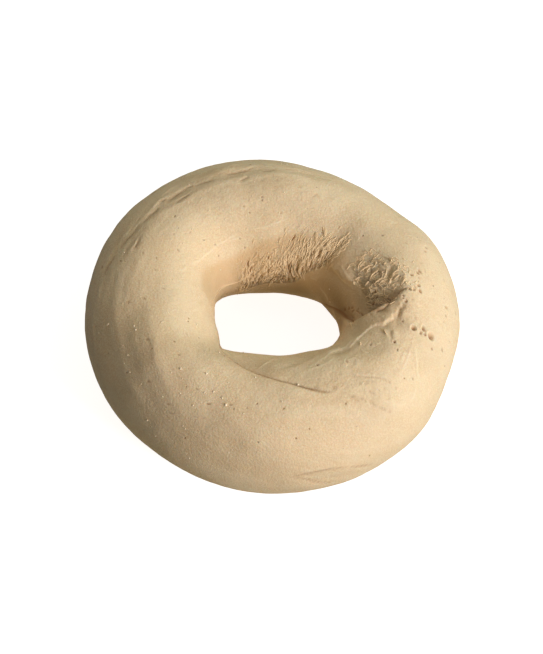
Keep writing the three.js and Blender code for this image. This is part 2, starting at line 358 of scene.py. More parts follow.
furrows = {
    "flankFurrow": {
        "run": [(60, 59.5), (71, 68.4), (90, 76), (110, 80), (136, 77), (160.5, 64), (182, 41),
            (205, 14.5)],
        "depth": 0.2, "halfWidth": 1.3, "shoulder": 0.12, "shoulderAt": 2.8, "fadeIn": 0.2,
        "fadeOut": 0.5,
    },
    "shoulderValley": {
        "run": [(362.5, 103), (364.5, 101.3), (366.8, 99.3), (369.2, 97.2), (372.5, 95)],
        "depth": 0.5, "halfWidth": 0.65, "shoulder": 0.1, "shoulderAt": 1.6, "fadeIn": 0.3,
        "fadeOut": 0.4,
    },
}


def addFurrow(skin, furrow):
    # a bell-shaped channel, and a lower bell beside it
    near, left, along = skin.lieOf(furrow["run"], furrow["shoulderAt"] + 3 * furrow["halfWidth"])
    pressed = furrow["depth"] * bell(left / furrow["halfWidth"])
    pushedUp = furrow["shoulder"] * bell((left - furrow["shoulderAt"]) / furrow["halfWidth"])
    skin.height[near] += strength(along, furrow) * (pushedUp - pressed)


# Ridges: soft edges between two faces of the skin that fall away on both sides

ridges = {
    "nearLeft": {
        "run": [(184, 91), (196, 87), (205, 82.1), (215.7, 77.3), (225, 70.2), (232.2, 58.9),
            (237, 51.4), (242.3, 38.9), (247.3, 25.3)],
        "height": 0.7, "reach": 5, "rounded": 0.5, "fadeIn": 0.3, "fadeOut": 0.45,
    },
    "farLeft": {
        "run": [(140, 87), (147.8, 85.4), (157.1, 83.4), (167, 82.2), (183.2, 78.6), (195.8, 75.3),
            (204, 74)],
        "height": 0.65, "reach": 5, "rounded": 0.6, "fadeIn": 0.35, "fadeOut": 0.35,
    },
    "secondLeft": {
        "run": [(195, 72), (202.2, 69), (213.3, 64.1), (221, 57.4), (228.6, 50), (235.6, 41),
            (242.3, 25)],
        "height": 0.2, "reach": 2.4, "rounded": 0.5, "fadeIn": 0.35, "fadeOut": 0.4,
    },
    "outerLeft": {
        "run": [(170, 70), (181.7, 65.1), (194.1, 57.4), (205.8, 51.1), (217.9, 39.5),
            (228.8, 32.3), (238.4, 13.1)],
        "height": 0.4, "reach": 3.5, "rounded": 0.6, "fadeIn": 0.35, "fadeOut": 0.4,
    },
    "edgeOfTheShoulder": {
        "run": [(352, 90), (356.4, 88.5), (360.7, 87.1), (366.5, 89), (371.3, 92.7), (378, 98),
            (386, 105)],
        "height": 0.85, "reach": 3.2, "rounded": 0.4, "fadeIn": 0.3, "fadeOut": 0.55,
    },
}


def addRidge(skin, ridge):
    # falls away from its line exponentially, with the line itself rounded over
    near, left, along = skin.lieOf(ridge["run"], 3 * ridge["reach"])
    away = np.hypot(left, ridge["rounded"]) - ridge["rounded"]
    skin.height[near] += strength(along, ridge) * ridge["height"] * np.exp(-away / ridge["reach"])


# Swellings and hollows: ring angle, section angle, the reach in millimetres along the ring and
# across it, the turn, and the height

swellings = {
    "lumpByTheJoin": (350.5, 83, 4.2, 3.8, 0, 1.2),
    "hollowUnderTheTongue": (321, 104, 8, 4, -28, -0.8),
    "hollowByTheLump": (342, 89.5, 3.2, 1.9, 25, -0.7),
    "smallLump": (344.1, 86.2, 1.2, 0.8, 0, 0.4),
    "hollowAtTheTip": (311, 119.5, 1.9, 1.2, 0, -0.45),
    "smallLeaf": (332.9, 87.6, 1.3, 0.7, 30, 0.28),
    "fullnessOfTheUpperRight": (66, 92, 19, 9, 0, 2.3),
    "fullnessOfTheLowerRight": (312, 60, 9, 5, 0, 0.35),
    "fullnessOfTheUpperLeft": (137, 116, 14, 8, 0, 1),
    "fullnessOfTheNearLeft": (224, 82, 13, 8, 0, 1.5),
    "bulgeOfTheWall": (49, 150, 8, 6, 0, 1),
    "flakeOnTheFlank": (107, 69.5, 8, 2.2, 4, 0.5),
    "fullnessOfTheFarRight": (62, 112, 6, 6, 0, 0.4),
    "fullnessOfTheFarLeft": (108, 90, 14, 6, 0, 0.5),
    "fullnessOfTheNear": (270, 50, 9, 9, 0, 0.6),
    "fullnessOfTheLeftWall": (166, 162, 10, 5, 0, 0.5),
    "leafDent": (286, 0, 7.5, 1.9, -16, -0.5),
    "fullnessOfTheLeft": (172, 120, 15, 7, 0, 0.5),
}


def addSwelling(skin, ring, section, reachAlong, reachAcross, turned, height):
    # a bell over an oval that is turned on the skin
    near, x, y = skin.roundPlace(ring, section, 2.5 * max(reachAlong, reachAcross))
    turn = math.radians(turned)
    lengthwise = x * math.cos(turn) + y * math.sin(turn)
    crosswise = y * math.cos(turn) - x * math.sin(turn)
    skin.height[near] += height * bell(np.hypot(lengthwise / reachAlong, crosswise / reachAcross))


# Long waves that keep the rope from being even: how many full waves go round the ring and round
# the section, the angle where they start, and the height

longWaves = [
    (2, 1, 30, 0.3), (5, -1, 110, 0.22), (3, 3, 200, 0.18), (9, 4, 75, 0.1),
]


def addWave(skin, roundRing, roundSection, start, height):
    # a sine of the two angles together
    angle = roundRing * skin.ring + roundSection * skin.section + start
    skin.height += height * np.sin(np.radians(angle))


def shapeSkin():
    # the plain rope, then the large forms
    ring = spacedAngles(rope["quadsAround"], rope["densityAround"])
    section = sectionLines(ring)
    skin = Skin(np.broadcast_to(ring[:, None], section.shape), section)
    for add, features in ((addFold, folds), (addFurrow, furrows), (addRidge, ridges)):
        for feature in features.values():
            add(skin, feature)
    for swelling in swellings.values():
        addSwelling(skin, *swelling)
    for wave in longWaves:
        addWave(skin, *wave)
    return skin


# Strokes: short tears, nicks, raised edges and pale lines in the skin. A group shares its height
# (below nothing is a tear), half width in millimetres, and how dark or pale it is: the dark is
# painted shade in tears and grooves, and the pale is dry skin and painted highlight on raised lines

strokes = {
    "wallTears": {"height": -0.42, "width": 0.24, "dark": 0.85, "runs": [
        [(117.5, 190), (109.6, 176)], [(114.8, 174), (105.8, 161)], [(110.6, 190), (109, 183)],
        [(107, 190), (104.6, 181)], [(104.3, 181), (96.8, 171.5)], [(93, 184), (87.5, 177)],
        [(86.4, 170), (81, 162.5)], [(79.8, 179.5), (77.9, 169)], [(73.8, 182), (73, 175)],
        [(73.8, 166.5), (74.6, 158.5)], [(69, 179), (71, 163)], [(65.7, 174), (64.6, 156)],
        [(60, 165.5), (59.6, 158)], [(54, 159), (53, 149)], [(50, 144), (50.2, 136.5)],
        [(46, 146), (46.8, 138)], [(94.3, 159), (94, 155)], [(114, 166.5), (112.8, 160)],
        [(75, 137.5), (72.7, 132)],
    ]},
    "wallCurls": {"height": 0.18, "width": 0.22, "pale": 0.3, "runs": [
        [(55.5, 160.5), (55.3, 152), (53.3, 147.5)],
        [(62.8, 132), (59.6, 141), (59.4, 148), (58.8, 155)],
        [(61.4, 156.5), (62.5, 164.6), (59.3, 173.5)], [(70.4, 161), (68.8, 170), (67, 174.5)],
        [(59.4, 123.5), (55.9, 132)], [(50.5, 133), (47.6, 137), (46.8, 148)],
        [(79.2, 167.5), (76, 171.5)], [(89.2, 174), (82.4, 164)], [(82, 181), (80.5, 184.5)],
        [(117.2, 178.5), (114.6, 170), (109, 162)], [(55, 118), (52, 125)],
    ]},
    "shoulderCurls": {"height": 0.12, "width": 0.2, "pale": 0.4, "runs": [
        [(374.8, 125.2), (375.5, 121.4), (375.6, 117.6), (375.8, 114.6), (374.7, 112.8)],
        [(366.6, 118.9), (368.4, 116.6), (369.8, 113.3), (370.2, 109.8), (370.5, 107.8)],
        [(363.2, 116.1), (364.1, 112.1), (364.6, 109), (365.2, 106)],
        [(361.7, 110.8), (362.9, 108.8), (363.4, 105.5), (363.3, 103)],
        [(363.6, 98.3), (365, 96.5), (366.1, 93.9), (366, 90.9)], [(366.5, 92.3), (368.8, 90.9)],
        [(376.5, 107.5), (374.4, 108.5)], [(372, 102.3), (372.7, 100.5)],
        [(378.2, 122.1), (378.8, 119.9)], [(364.9, 123.2), (366.1, 121.9), (366.4, 119.6)],
        [(371.9, 132.3), (372.1, 130.3), (372.4, 126.7)],
        [(358.9, 89.3), (360.4, 88.2), (361.7, 86)], [(358.6, 87.4), (359.6, 85.7)],
        [(363.7, 100.3), (362.2, 99.8), (361.1, 101.3)],
        [(362, 96.5), (362.9, 94.4), (363.2, 92.5)], [(367.3, 106), (368.2, 105)],
        [(371.9, 96), (373.6, 94.4)], [(369.7, 134.8), (371.3, 133.1)],
        [(348.9, 99.3), (349.9, 96.5), (350.8, 93.6)],
    ]},
    "shoulderFolds": {"height": 0.12, "width": 0.24, "pale": 0.3, "runs": [
        [(372.1, 119.6), (373.3, 117.6), (373.9, 115.1)],
        [(363.2, 121.1), (360.1, 120.1), (358.7, 119.9)],
        [(369.2, 101), (366.9, 102.3), (365.6, 103.8)],
        [(377.1, 125.4), (379.5, 121.9), (380.4, 118.4)], [(366.8, 130.5), (367, 129.2)],
        [(338.8, 139.2), (333.6, 134.6)], [(333.7, 98.8), (332.3, 96.5), (331.2, 93.9)],
        [(322.1, 114.6), (320.1, 112.1)],
    ]},
    "shoulderTears": {"height": -0.16, "width": 0.22, "dark": 0.45, "runs": [
        [(375.2, 117.1), (374.7, 114.1), (373.7, 113.1)], [(373.3, 114.1), (370.6, 115.3)],
        [(369.3, 116.6), (368.1, 119.4), (366.8, 122.4)], [(370, 108.3), (367.4, 108.5)],
        [(362.1, 107), (362.6, 104.8), (362.4, 103), (361.3, 103)], [(360.5, 102), (360.8, 99.3)],
        [(362.2, 91.2), (363.8, 90.7)], [(378, 114.6), (379.2, 112.3)],
        [(373.3, 97.2), (374.6, 95.7)], [(373.7, 107), (375, 105.8)], [(372.1, 104), (373.2, 103)],
        [(371.9, 107.8), (373.3, 106.8)], [(345.7, 89.9), (346.7, 88.2)],
        [(346.4, 87.1), (347.8, 85.4)], [(350.1, 86), (350.7, 85.1)],
    ]},
    "shoulderSlits": {"height": -0.5, "width": 0.28, "dark": 0.95, "runs": [
        [(358.2, 119.4), (358.9, 116.6), (359.5, 113.6)],
        [(354.7, 121.4), (355.4, 117.3), (356.3, 113.8)],
        [(351.2, 121.6), (352.4, 119.6), (353, 117.3)],
    ]},
    "shoulderNotches": {"height": -0.13, "width": 0.24, "dark": 0.25, "runs": [
        [(365.6, 109.8), (366, 106.5)], [(361.8, 98.5), (363.3, 97.5)],
        [(360.7, 94.9), (361.3, 92)], [(382.5, 117.8), (382.6, 116.6)],
        [(357.9, 91.5), (358.6, 90.9)], [(380, 124.7), (382.2, 122.1), (382.5, 119.4)],
        [(362.5, 110.8), (363.4, 108.5)], [(367.2, 113.3), (369, 111.3)],
        [(360.3, 107), (361.2, 105.3)], [(334.6, 91.2), (332.2, 90.4), (330.4, 86.5)],
        [(341.1, 118.1), (341.1, 113.8)],
    ]},
    "crumple": {"height": -0.3, "width": 0.2, "dark": 0.75, "runs": [
        [(363.6, 165.4), (363.8, 160.8)], [(360.5, 158.2), (361.2, 153.5)],
        [(359.1, 152.3), (357.5, 146.6)], [(356.8, 153.8), (355.7, 145.8)],
        [(353.9, 144.5), (351.1, 139.7), (348.4, 136.6)], [(352.6, 139.9), (352.8, 137.1)],
        [(342.1, 127.2), (349.1, 135.9)],
    ]},
    "ledge": {"height": 0.32, "width": 0.26, "pale": 0.8, "runs": [
        [(173.8, 158.2), (160.3, 166.5), (148.7, 173.5), (142.1, 176.9), (130.1, 180.8),
         (121.1, 180.3)],
    ]},
    "flankDark": {"height": -0.26, "width": 0.3, "dark": 0.55, "runs": [
        [(162.6, 61.1), (159, 64.1), (155.3, 68.4), (149.5, 70)],
        [(145.4, 71.9), (142.5, 75.6), (139.5, 75.6)], [(137, 71.2), (134.8, 73.4)],
        [(135.4, 77.7), (129.1, 76.8), (125.5, 77.4)], [(125.6, 76.2), (122.8, 77.7)],
        [(122.5, 79.5), (118.7, 80.4), (114.8, 82.8)],
        [(109.8, 78.9), (105.1, 78.3), (100.9, 76.8), (97.4, 73.4)],
        [(105.3, 92), (102.6, 89.3), (100.1, 87.6)], [(173.3, 47.8), (169.3, 53.2), (165.4, 58.8)],
        [(163.3, 76.2), (160.1, 78), (155.8, 77.7)], [(134, 85.1), (126.9, 85.7)],
        [(148.9, 72.8), (144.5, 74)], [(94.6, 81), (89, 77.1)],
        [(135, 49.6), (131.2, 48.5), (128.2, 49.6)],
    ]},
    "flankLight": {"height": 0.2, "width": 0.28, "pale": 0.6, "runs": [
        [(145.1, 69.3), (142.3, 70.3), (138, 70), (135.6, 67.7)],
        [(135.2, 66.7), (130.1, 65.4), (126.5, 65.4)],
        [(158.7, 56.7), (156.2, 59.8), (152.9, 63.5)],
        [(109.6, 70.6), (106.1, 65.8), (101.9, 66.7)], [(100.6, 73.1), (96.4, 69.6)],
        [(122.5, 69.6), (117.7, 65.4), (113.1, 61.5)],
        [(164.4, 72.2), (161.2, 75.9), (156.9, 76.5)], [(136.2, 69.3), (133.2, 72.2)],
        [(182, 42.6), (176.7, 47.4), (172.6, 52.1)], [(167, 48.5), (162.4, 54.6)],
    ]},
    "facetLines": {"height": 0.16, "width": 0.33, "pale": 0.5, "runs": [
        [(35, 141), (27.3, 143.3), (20, 143.8), (13.2, 140.7), (7.8, 137.4)],
        [(28.6, 135.6), (20, 136.4), (12.8, 135.3), (6.6, 131)], [(363.3, 122), (358.6, 120)],
        [(38, 171.5), (29, 173.7), (24.3, 177.5)], [(51, 167), (44, 165.4)],
    ]},
    "tongueLines": {"height": 0.1, "width": 0.24, "pale": 0.8, "runs": [
        [(288.1, 111.3), (291, 111), (293.8, 112.1), (296, 114.8), (299.8, 116.5), (303, 120.5),
         (307.2, 123.2), (311.6, 123.5), (315, 122.2), (319.5, 123.3), (325, 119), (329.8, 114.6)],
        [(313.9, 118.6), (318.7, 119.1), (323.6, 118.9), (326.8, 117.6), (329.8, 115.6),
         (333.6, 111.8), (335.9, 107.8)], [(262.5, 110.5), (266, 119), (271.6, 130)],
        [(286, 106), (294, 107), (302, 111)],
    ]},
    "leafEdges": {"height": -0.22, "width": 0.3, "dark": 0.5, "runs": [
        [(274.5, 8), (279.1, 10.2), (283.1, 11.3), (287.2, 11), (291, 8)],
        [(274.5, 8), (279.1, 3.5), (282.4, -3.2), (286.6, -9.7), (290.1, -10.6)],
        [(292.1, 6.9), (295.7, 2.2), (299.6, -4.3)],
    ]},
    "leafPale": {"height": 0.1, "width": 0.7, "pale": 0.4, "runs": [
        [(276.9, 14.6), (282.1, 14.3), (287.9, 12.5)],
        [(278, 6.5), (282.1, 4.1), (286.8, 2.6), (291.5, 1.1)],
    ]},
    "patchEdges": {"height": 0.12, "width": 0.4, "pale": 0.5, "runs": [
        [(333.4, 67.8), (325.7, 65.7), (319.5, 63.9)],
        [(309.2, 62), (308, 55), (312.5, 42.8), (315.6, 38.4)],
        [(322.1, 43.6), (318.4, 39.2), (315.6, 38.4)], [(333.4, 64.9), (327.3, 54.4), (324, 46)],
        [(303, 96), (305, 101), (308, 104), (311, 101), (309, 95), (305, 93)],
        [(303, 90), (308, 82), (312, 75)],
    ]},
    "creaseLine": {"height": -0.35, "width": 0.2, "dark": 0.95, "runs": [
        [(356.4, 85), (355.8, 90.4), (354.1, 93.1), (350.1, 96.2), (349.2, 99.5), (349.5, 105.3),
         (347.9, 109.8), (346.1, 114.3), (343.2, 121.9), (340.7, 128.7), (340, 138.4), (345, 147)],
        [(337, 133), (340, 138.4), (351.4, 156.6), (358, 164.1), (363.7, 168.8), (373.7, 177.1),
         (384, 185.2), (393.6, 191.6), (402, 197)],
    ]},
    "seamLine": {"height": -0.2, "width": 0.36, "dark": 1.4, "runs": [
        [(291.5, 77.6), (288.8, 80.4), (285.2, 84.1), (277.6, 92), (272.4, 95.5), (267.9, 98.6),
         (258.2, 104.9), (251.8, 108.9), (245.6, 113.8), (240, 119), (233, 131), (225, 150),
         (218, 170)],
    ]},
    "tonguePatch": {"height": 0.2, "width": 0.5, "pale": 0.5, "runs": [
        [(303, 122), (307, 126), (312, 125)],
    ]},
    "seamDashes": {"height": -0.12, "width": 0.24, "dark": 0.4, "runs": [
        [(287, 86.4), (288.6, 83)], [(289.5, 81.5), (292.4, 77)], [(297.3, 74), (298, 70)],
        [(299.4, 70), (300, 62.5)], [(305.4, 68), (306.4, 63)], [(307.6, 45.5), (308.6, 42)],
        [(302.5, 87.5), (308.4, 79.4), (312, 72), (313.5, 66.7)], [(298, 70.6), (299.5, 66.5)],
        [(301, 66), (302.6, 60)], [(303.5, 60), (305, 53)], [(305.5, 52), (307.5, 46)],
    ]},
    "flowLines": {"height": 0.1, "width": 0.24, "pale": 0.8, "runs": [
        [(159.2, 125.9), (152, 133.1), (141, 137.1), (133.2, 137.9)],
        [(134, 136.1), (127.3, 137.6), (120.4, 135.9), (116, 134.6)],
        [(124.9, 138.9), (117.7, 138.7), (113.5, 138.7)],
        [(109.3, 132.5), (97.9, 131.5), (88.4, 126.7), (78.7, 120.4)],
        [(169.3, 118.1), (163.1, 124.9)],
    ]},
    "softLines": {"height": 0.12, "width": 0.6, "pale": 0.35, "runs": [
        [(333, 67), (327, 54), (323, 38.5)], [(347, 62), (347, 51), (345.5, 41)],
        [(349.7, 56), (349.5, 45.6), (347, 36)], [(334, 98.5), (329, 90)],
        [(335.6, 89), (332.4, 82)], [(175, 50), (182.5, 40), (188.7, 32), (197.5, 23.6), (210, 12)],
        [(212, 81), (220, 71), (230, 60)], [(312, 57), (310.5, 50), (310, 41)],
    ]},
}


def addStroke(skin, run, group):
    # a bell across the run that swells and dies away along it as half an oval does
    near, left, along = skin.lieOf(run, 4 * group["width"], steps=max(18, 4 * len(run)))
    oval = np.sqrt(np.clip(1 - np.square(2 * along - 1), 0, 1)) * bell(left / group["width"])
    skin.stamp(near, group, oval)


# Webs: where the skin has been pulled open, thin walls of dough stand between small drawn-out
# hollows. The web's edge is sharp to the left of its run and fades out to the right of it

webs = {
    "farWall": {
        "run": [(36, 130), (44, 148), (54, 159), (60, 167), (68, 180), (80, 183.5), (95, 185),
            (108, 190.5), (121, 195)],
        "reach": 8, "edge": 0.8, "cell": 0.55, "stretch": 4.2, "warp": 0.7, "wall": 0.2,
        "sink": 0.17, "dark": 0.1, "lean": {45: 0.1, 78: 0.1, 86: 0.75, 94: 0.45, 125: 0.35},
        "fadeIn": 0.08, "fadeOut": 0.08, "seed": 41,
    },
    "shadedShoulder": {
        "run": [(346, 122), (354, 122), (364, 125), (374, 126), (384, 124)], "reach": 7.5,
        "edge": 1.5, "cell": 0.6, "stretch": 4, "warp": 1.2, "wall": 0.04, "sink": 0.05,
        "dark": 0.1, "lean": {345: 0.3, 385: 0.6}, "fadeIn": 0.25, "fadeOut": 0.25, "seed": 44,
    },
}
webShape = {
    "warpCells": (3.5, 4.5), "finer": 2.2, "finerShare": 0.3,
    # the walls' pale is painted highlight on them
    "wallWidth": 0.14, "wallPale": 0.25, "opened": (0.2, 0.7),
    "sunk": (0.1, 0.6), "shallowSide": 0.55,
}


def addWeb(skin, web):
    # noise drawn out across the run: thin walls stand where it passes through 0, and it sinks
    # between them, most where the noise is high
    near, left, along = skin.lieOf(web["run"], 2 * web["reach"])
    inside = (1 - smooth(left, 0, web["edge"])) * bell(np.minimum(left, 0) / web["reach"])
    share = strength(along, web) * inside
    start = web["run"][0][0]
    ring = turnBetween(skin.ring[near], start)
    lean = valueAt(web["lean"], ring + start)
    x, y, cell, seed = ring * skin.perRing[near] - lean * left, left, web["cell"], web["seed"]
    warpX, warpY = webShape["warpCells"]
    x = x + web["warp"] * softNoise(x / (warpX * cell), y / (warpY * cell), seed=seed)
    wave = softNoise(x / cell, y / (web["stretch"] * cell), seed=seed + 1)
    finer = softNoise(webShape["finer"] * x / cell, y / cell, seed=seed + 2)
    wave = wave + webShape["finerShare"] * finer
    wall, opened = bell(wave / webShape["wallWidth"]), smooth(wave, *webShape["opened"])
    shallow = webShape["shallowSide"]
    sunk = smooth(np.abs(wave), *webShape["sunk"]) * (shallow + (1 - shallow) * (wave > 0))
    skin.height[near] += share * (web["wall"] * wall - web["sink"] * sunk)
    # painted shade in the opened hollows, and painted highlight on the thin walls
    pale = webShape["wallPale"] * share * wall
    skin.mark(near, creviceShade=web["dark"] * share * opened, pale=pale)
    stronger = share > skin.torn[near]
    skin.threadAcross[near] = np.where(stronger, x, skin.threadAcross[near])
    skin.threadAlong[near] = np.where(stronger, y, skin.threadAlong[near])
    skin.torn[near] = np.maximum(skin.torn[near], share)


# Scattered marks: bands of small tears or raised threads round a run. Lengths and spreads are in
# millimetres. The lean, at a few ring angles, goes from the section's direction towards a larger
# ring angle, in degrees

# a band's dark is painted shade in its tears, and its pale is dry skin and painted highlight on its
# raised threads
wallLean = {45: 6, 78: 8, 86: 38, 94: 25, 125: 20}  # how the far wall's threads lie
scatters = {
    "fineTears": {
        "run": [(40, 132), (60, 152), (80, 167), (100, 176), (120, 187)], "count": 240,
        "spread": 2.4, "length": (1, 2.8), "width": 0.2, "height": -0.28, "dark": 0.75,
        "lean": wallLean, "wander": 12, "bow": 0.2, "seed": 11,
    },
    "fineThreads": {
        "run": [(42, 126), (60, 140), (80, 154), (100, 164), (120, 178)], "count": 150,
        "spread": 3.4, "length": (0.8, 2), "width": 0.17, "height": 0.14, "pale": 0.35,
        "lean": wallLean, "wander": 22, "bow": 0.25, "seed": 12,
    },
    "shoulderThreads": {
        "run": [(350, 104), (362, 104), (374, 107), (386, 113)], "count": 60, "spread": 3,
        "length": (1, 2.2), "width": 0.17, "height": 0.1, "pale": 0.3, "lean": {0: 20},
        "wander": 40, "bow": 0.5, "seed": 13,
    },
    "shoulderNicks": {
        "run": [(350, 106), (362, 108), (374, 108), (386, 110)], "count": 40, "spread": 2.6,
        "length": (0.8, 1.8), "width": 0.18, "height": -0.14, "dark": 0.3, "lean": {0: 25},
        "wander": 35, "bow": 0.3, "seed": 14,
    },
    "roughLedge": {
        "run": [(122, 196), (135, 197), (150, 195)], "count": 50, "spread": 1.2,
        "length": (0.6, 1.4), "width": 0.25, "height": -0.25, "dark": 0.5, "lean": {0: 15},
        "wander": 40, "bow": 0.2, "seed": 15,
    },
    "nearRightStreaks": {
        "run": [(296, 62), (308, 66), (322, 64), (336, 58)], "count": 90, "spread": 5,
        "length": (1, 4), "width": 0.3, "height": 0.07, "pale": 0.35, "lean": {296: -35, 336: 40},
        "wander": 30, "bow": 0.5, "seed": 26,
    },
    "nearRightNicks": {
        "run": [(290, 80), (300, 76), (312, 74), (330, 70)], "count": 60, "spread": 4.5,
        "length": (0.6, 2), "width": 0.24, "height": -0.1, "dark": 0.3,
        "lean": {290: -50, 330: -20}, "wander": 30, "bow": 0.3, "seed": 27,
    },
    "rimNicks": {
        "run": [(180, 168), (195, 172), (212, 176)], "count": 60, "spread": 2.2,
        "length": (0.5, 1.2), "width": 0.22, "height": -0.16, "dark": 0.35, "lean": {0: 0},
        "wander": 50, "bow": 0.2, "seed": 23,
    },
    "farStreaks": {
        "run": [(55, 92), (70, 100), (90, 104), (112, 100), (130, 96)], "count": 70, "spread": 4.5,
        "length": (2, 7), "width": 0.22, "height": 0.08, "pale": 0.35, "lean": {55: 70, 130: 95},
        "wander": 12, "bow": 0.4, "seed": 24,
    },
    "farCracks": {
        "run": [(60, 78), (80, 86), (100, 90), (120, 88)], "count": 50, "spread": 4.5,
        "length": (1.5, 5), "width": 0.2, "height": -0.08, "dark": 0.25, "lean": {60: 70, 120: 90},
        "wander": 14, "bow": 0.4, "seed": 25,
    },
    "crestNicks": {
        "run": [(335, 78), (350, 76), (365, 70), (385, 60)], "count": 40, "spread": 4.5,
        "length": (0.5, 1.3), "width": 0.22, "height": -0.16, "dark": 0.35, "lean": {0: 10},
        "wander": 50, "bow": 0.2, "seed": 16,
    },
    "tongueThreads": {
        "run": [(296, 106), (306, 104), (318, 106), (330, 100)], "count": 45, "spread": 2.6,
        "length": (1, 3), "width": 0.3, "height": 0.08, "pale": 0.25, "lean": {296: -50, 330: -30},
        "wander": 30, "bow": 0.4, "seed": 17,
    },
    "flankFurrows": {
        "run": [(66, 63), (90, 75), (110, 79), (136, 76), (160, 64), (182, 45)], "count": 80,
        "spread": 2.8, "length": (3, 10), "width": 0.22, "height": -0.12, "dark": 0.25,
        "lean": {66: 70, 110: 86, 136: 97, 182: 108}, "wander": 4, "bow": 0.5, "seed": 21,
    },
    "flankRidges": {
        "run": [(66, 60), (90, 71), (110, 75), (136, 72), (160, 60), (190, 36)], "count": 70,
        "spread": 3.4, "length": (2, 8), "width": 0.2, "height": 0.1, "pale": 0.45,
        "lean": {66: 70, 110: 86, 136: 97, 190: 110}, "wander": 4, "bow": 0.4, "seed": 22,
    },
    "foldThreads": {
        "run": [(290, 88), (304, 76), (318, 66)], "count": 40, "spread": 3.4, "length": (0.8, 2.4),
        "width": 0.3, "height": 0.08, "pale": 0.3, "lean": {0: -60}, "wander": 40, "bow": 0.3,
        "seed": 18,
    },
}
markShape = {
    "perSection": 0.29,  # millimetres to a degree of section, on average
    "strengths": (0.5, 1.15), "spreadsToFade": 1.6,
}


def leanIn(band, ring, draw):
    # the band's own lean at a ring angle, and a random turn, in radians
    return math.radians(valueAt(band["lean"], ring) + draw.normal(0, band["wander"]))


def addScatter(skin, band):
    # places drawn along the run and beside it; each mark is a bell across its own bowed middle
    # line, and swells and dies away along it
    draw = np.random.default_rng(band["seed"])
    places = openRun(band["run"])
    for _ in range(band["count"]):
        ring, section = places[draw.integers(len(places))]
        aside = draw.normal(0, band["spread"])
        section = section + aside / markShape["perSection"]
        length = draw.uniform(*band["length"])
        turn = leanIn(band, ring, draw)
        bow = draw.normal(0, band["bow"])
        fade = math.exp(-(aside / (markShape["spreadsToFade"] * band["spread"]))**2)
        strong = draw.uniform(*markShape["strengths"]) * fade
        near, x, y = skin.roundPlace(ring, section, 0.5 * length + 3 * band["width"])
        part = 2 * (x * math.sin(turn) + y * math.cos(turn)) / length
        side = x * math.cos(turn) - y * math.sin(turn) - bow * (1 - part * part)
        oval = strong * np.clip(1 - part * part, 0, 1) * bell(side / band["width"])
        skin.stamp(near, band, oval)


# Pits: ring angle, section angle, radius, depth, how many times longer than wide, and the long
# way's lean

pits = [
    (339.9, 72.2, 0.6, 0.7, 1.1, 30), (341.7, 62.8, 0.45, 0.5, 1.6, 60),
    (339.5, 64, 0.38, 0.45, 1, 0), (339.9, 60, 0.34, 0.4, 1, 0), (340.8, 52.9, 0.75, 1, 1.15, 40),
    (355.8, 41.8, 0.4, 0.6, 1.7, 0), (352.6, 41, 0.3, 0.35, 1.2, 0), (337.3, 46.3, 0.35, 0.3, 1, 0),
    (340.8, 33, 0.35, 0.3, 1.6, 60), (18.8, 57, 0.33, 0.5, 1.4, 80),
    (16.7, 60.5, 0.28, 0.4, 1.2, 0), (3.8, 81, 0.34, 0.4, 1.3, 20), (6.2, 72.8, 0.3, 0.45, 2.2, 60),
    (5.2, 75, 0.26, 0.35, 1.8, 60), (359.1, 75.3, 0.4, 0.6, 1.1, 0),
    (356.6, 73.7, 0.35, 0.4, 1.8, 70), (356.4, 79.8, 0.34, 0.5, 1, 0),
    (356.1, 83.4, 0.34, 0.45, 1, 0), (6.2, 45.2, 0.26, 0.35, 1, 0), (357.9, 23.7, 0.3, 0.3, 1.3, 0),
    (329.5, 84.5, 0.3, 0.35, 1.3, 40), (322.9, 103.8, 0.24, 0.25, 1.2, 0),
    (326.8, 78.3, 0.24, 0.25, 1.3, 40), (322.4, 50.7, 0.28, 0.35, 1, 0),
    (349.6, 85.7, 0.3, 0.4, 1.2, 0), (350.7, 88.5, 0.26, 0.3, 1, 0),
    (293.5, 108.5, 0.26, 0.3, 1.4, 0), (306.6, 102.8, 0.2, 0.3, 3, 10),
    (28.6, 90.7, 0.24, 0.3, 1.3, 0), (329.5, 84, 0.3, 0.3, 1.4, 20), (326.5, 78, 0.24, 0.25, 1, 0),
    (337.9, 157.4, 0.26, 0.3, 1.3, 0), (341.3, 84.5, 0.22, 0.25, 1.3, 60),
    (353.8, 103.5, 0.22, 0.25, 1, 0), (352.1, 88.5, 0.26, 0.3, 1.3, 20),
]


# Pinholes: small round pits, all of one size

pinholes = {
    "radius": 0.25, "depth": 0.25,
    "at": [
        (155.8, 113.1), (133, 135.9), (113.3, 147.9), (165.4, 97.8), (183.9, 104.3), (184.7, 99.3),
        (189.6, 86), (168.6, 45.6), (164.4, 86), (172.4, 98.3), (104.3, 119.6), (139.3, 94.4),
        (143.6, 104), (148.9, 104), (141.7, 114.1), (95.8, 106.8), (96.1, 109.5), (84.7, 117.6),
        (106.8, 114.1), (189.6, 72.5), (190.1, 78.6), (198.8, 80.7), (196.5, 68), (196.8, 87.4),
        (134.3, 146.1), (95, 91.2), (115, 139.2), (211.2, 75), (226, 87.1), (218.9, 60.8),
        (223.6, 53.9), (239.7, 46), (234.2, 48.9), (247.1, 63.1), (247.3, 51.1), (254.8, 67.7),
        (250.5, 20), (235.8, 42.9), (216.9, 107.3), (231.6, 106), (241.4, 70.6),
    ],
}

# the rim round a pit: its place and width in radii, its height in depths, and how pale it is, as
# painted highlight; and how wide the pit is darkened with painted shade, in radii
pitRim = {"at": 1.6, "width": 0.5, "height": 0.35, "pale": 0.5, "darkWidth": 0.9}


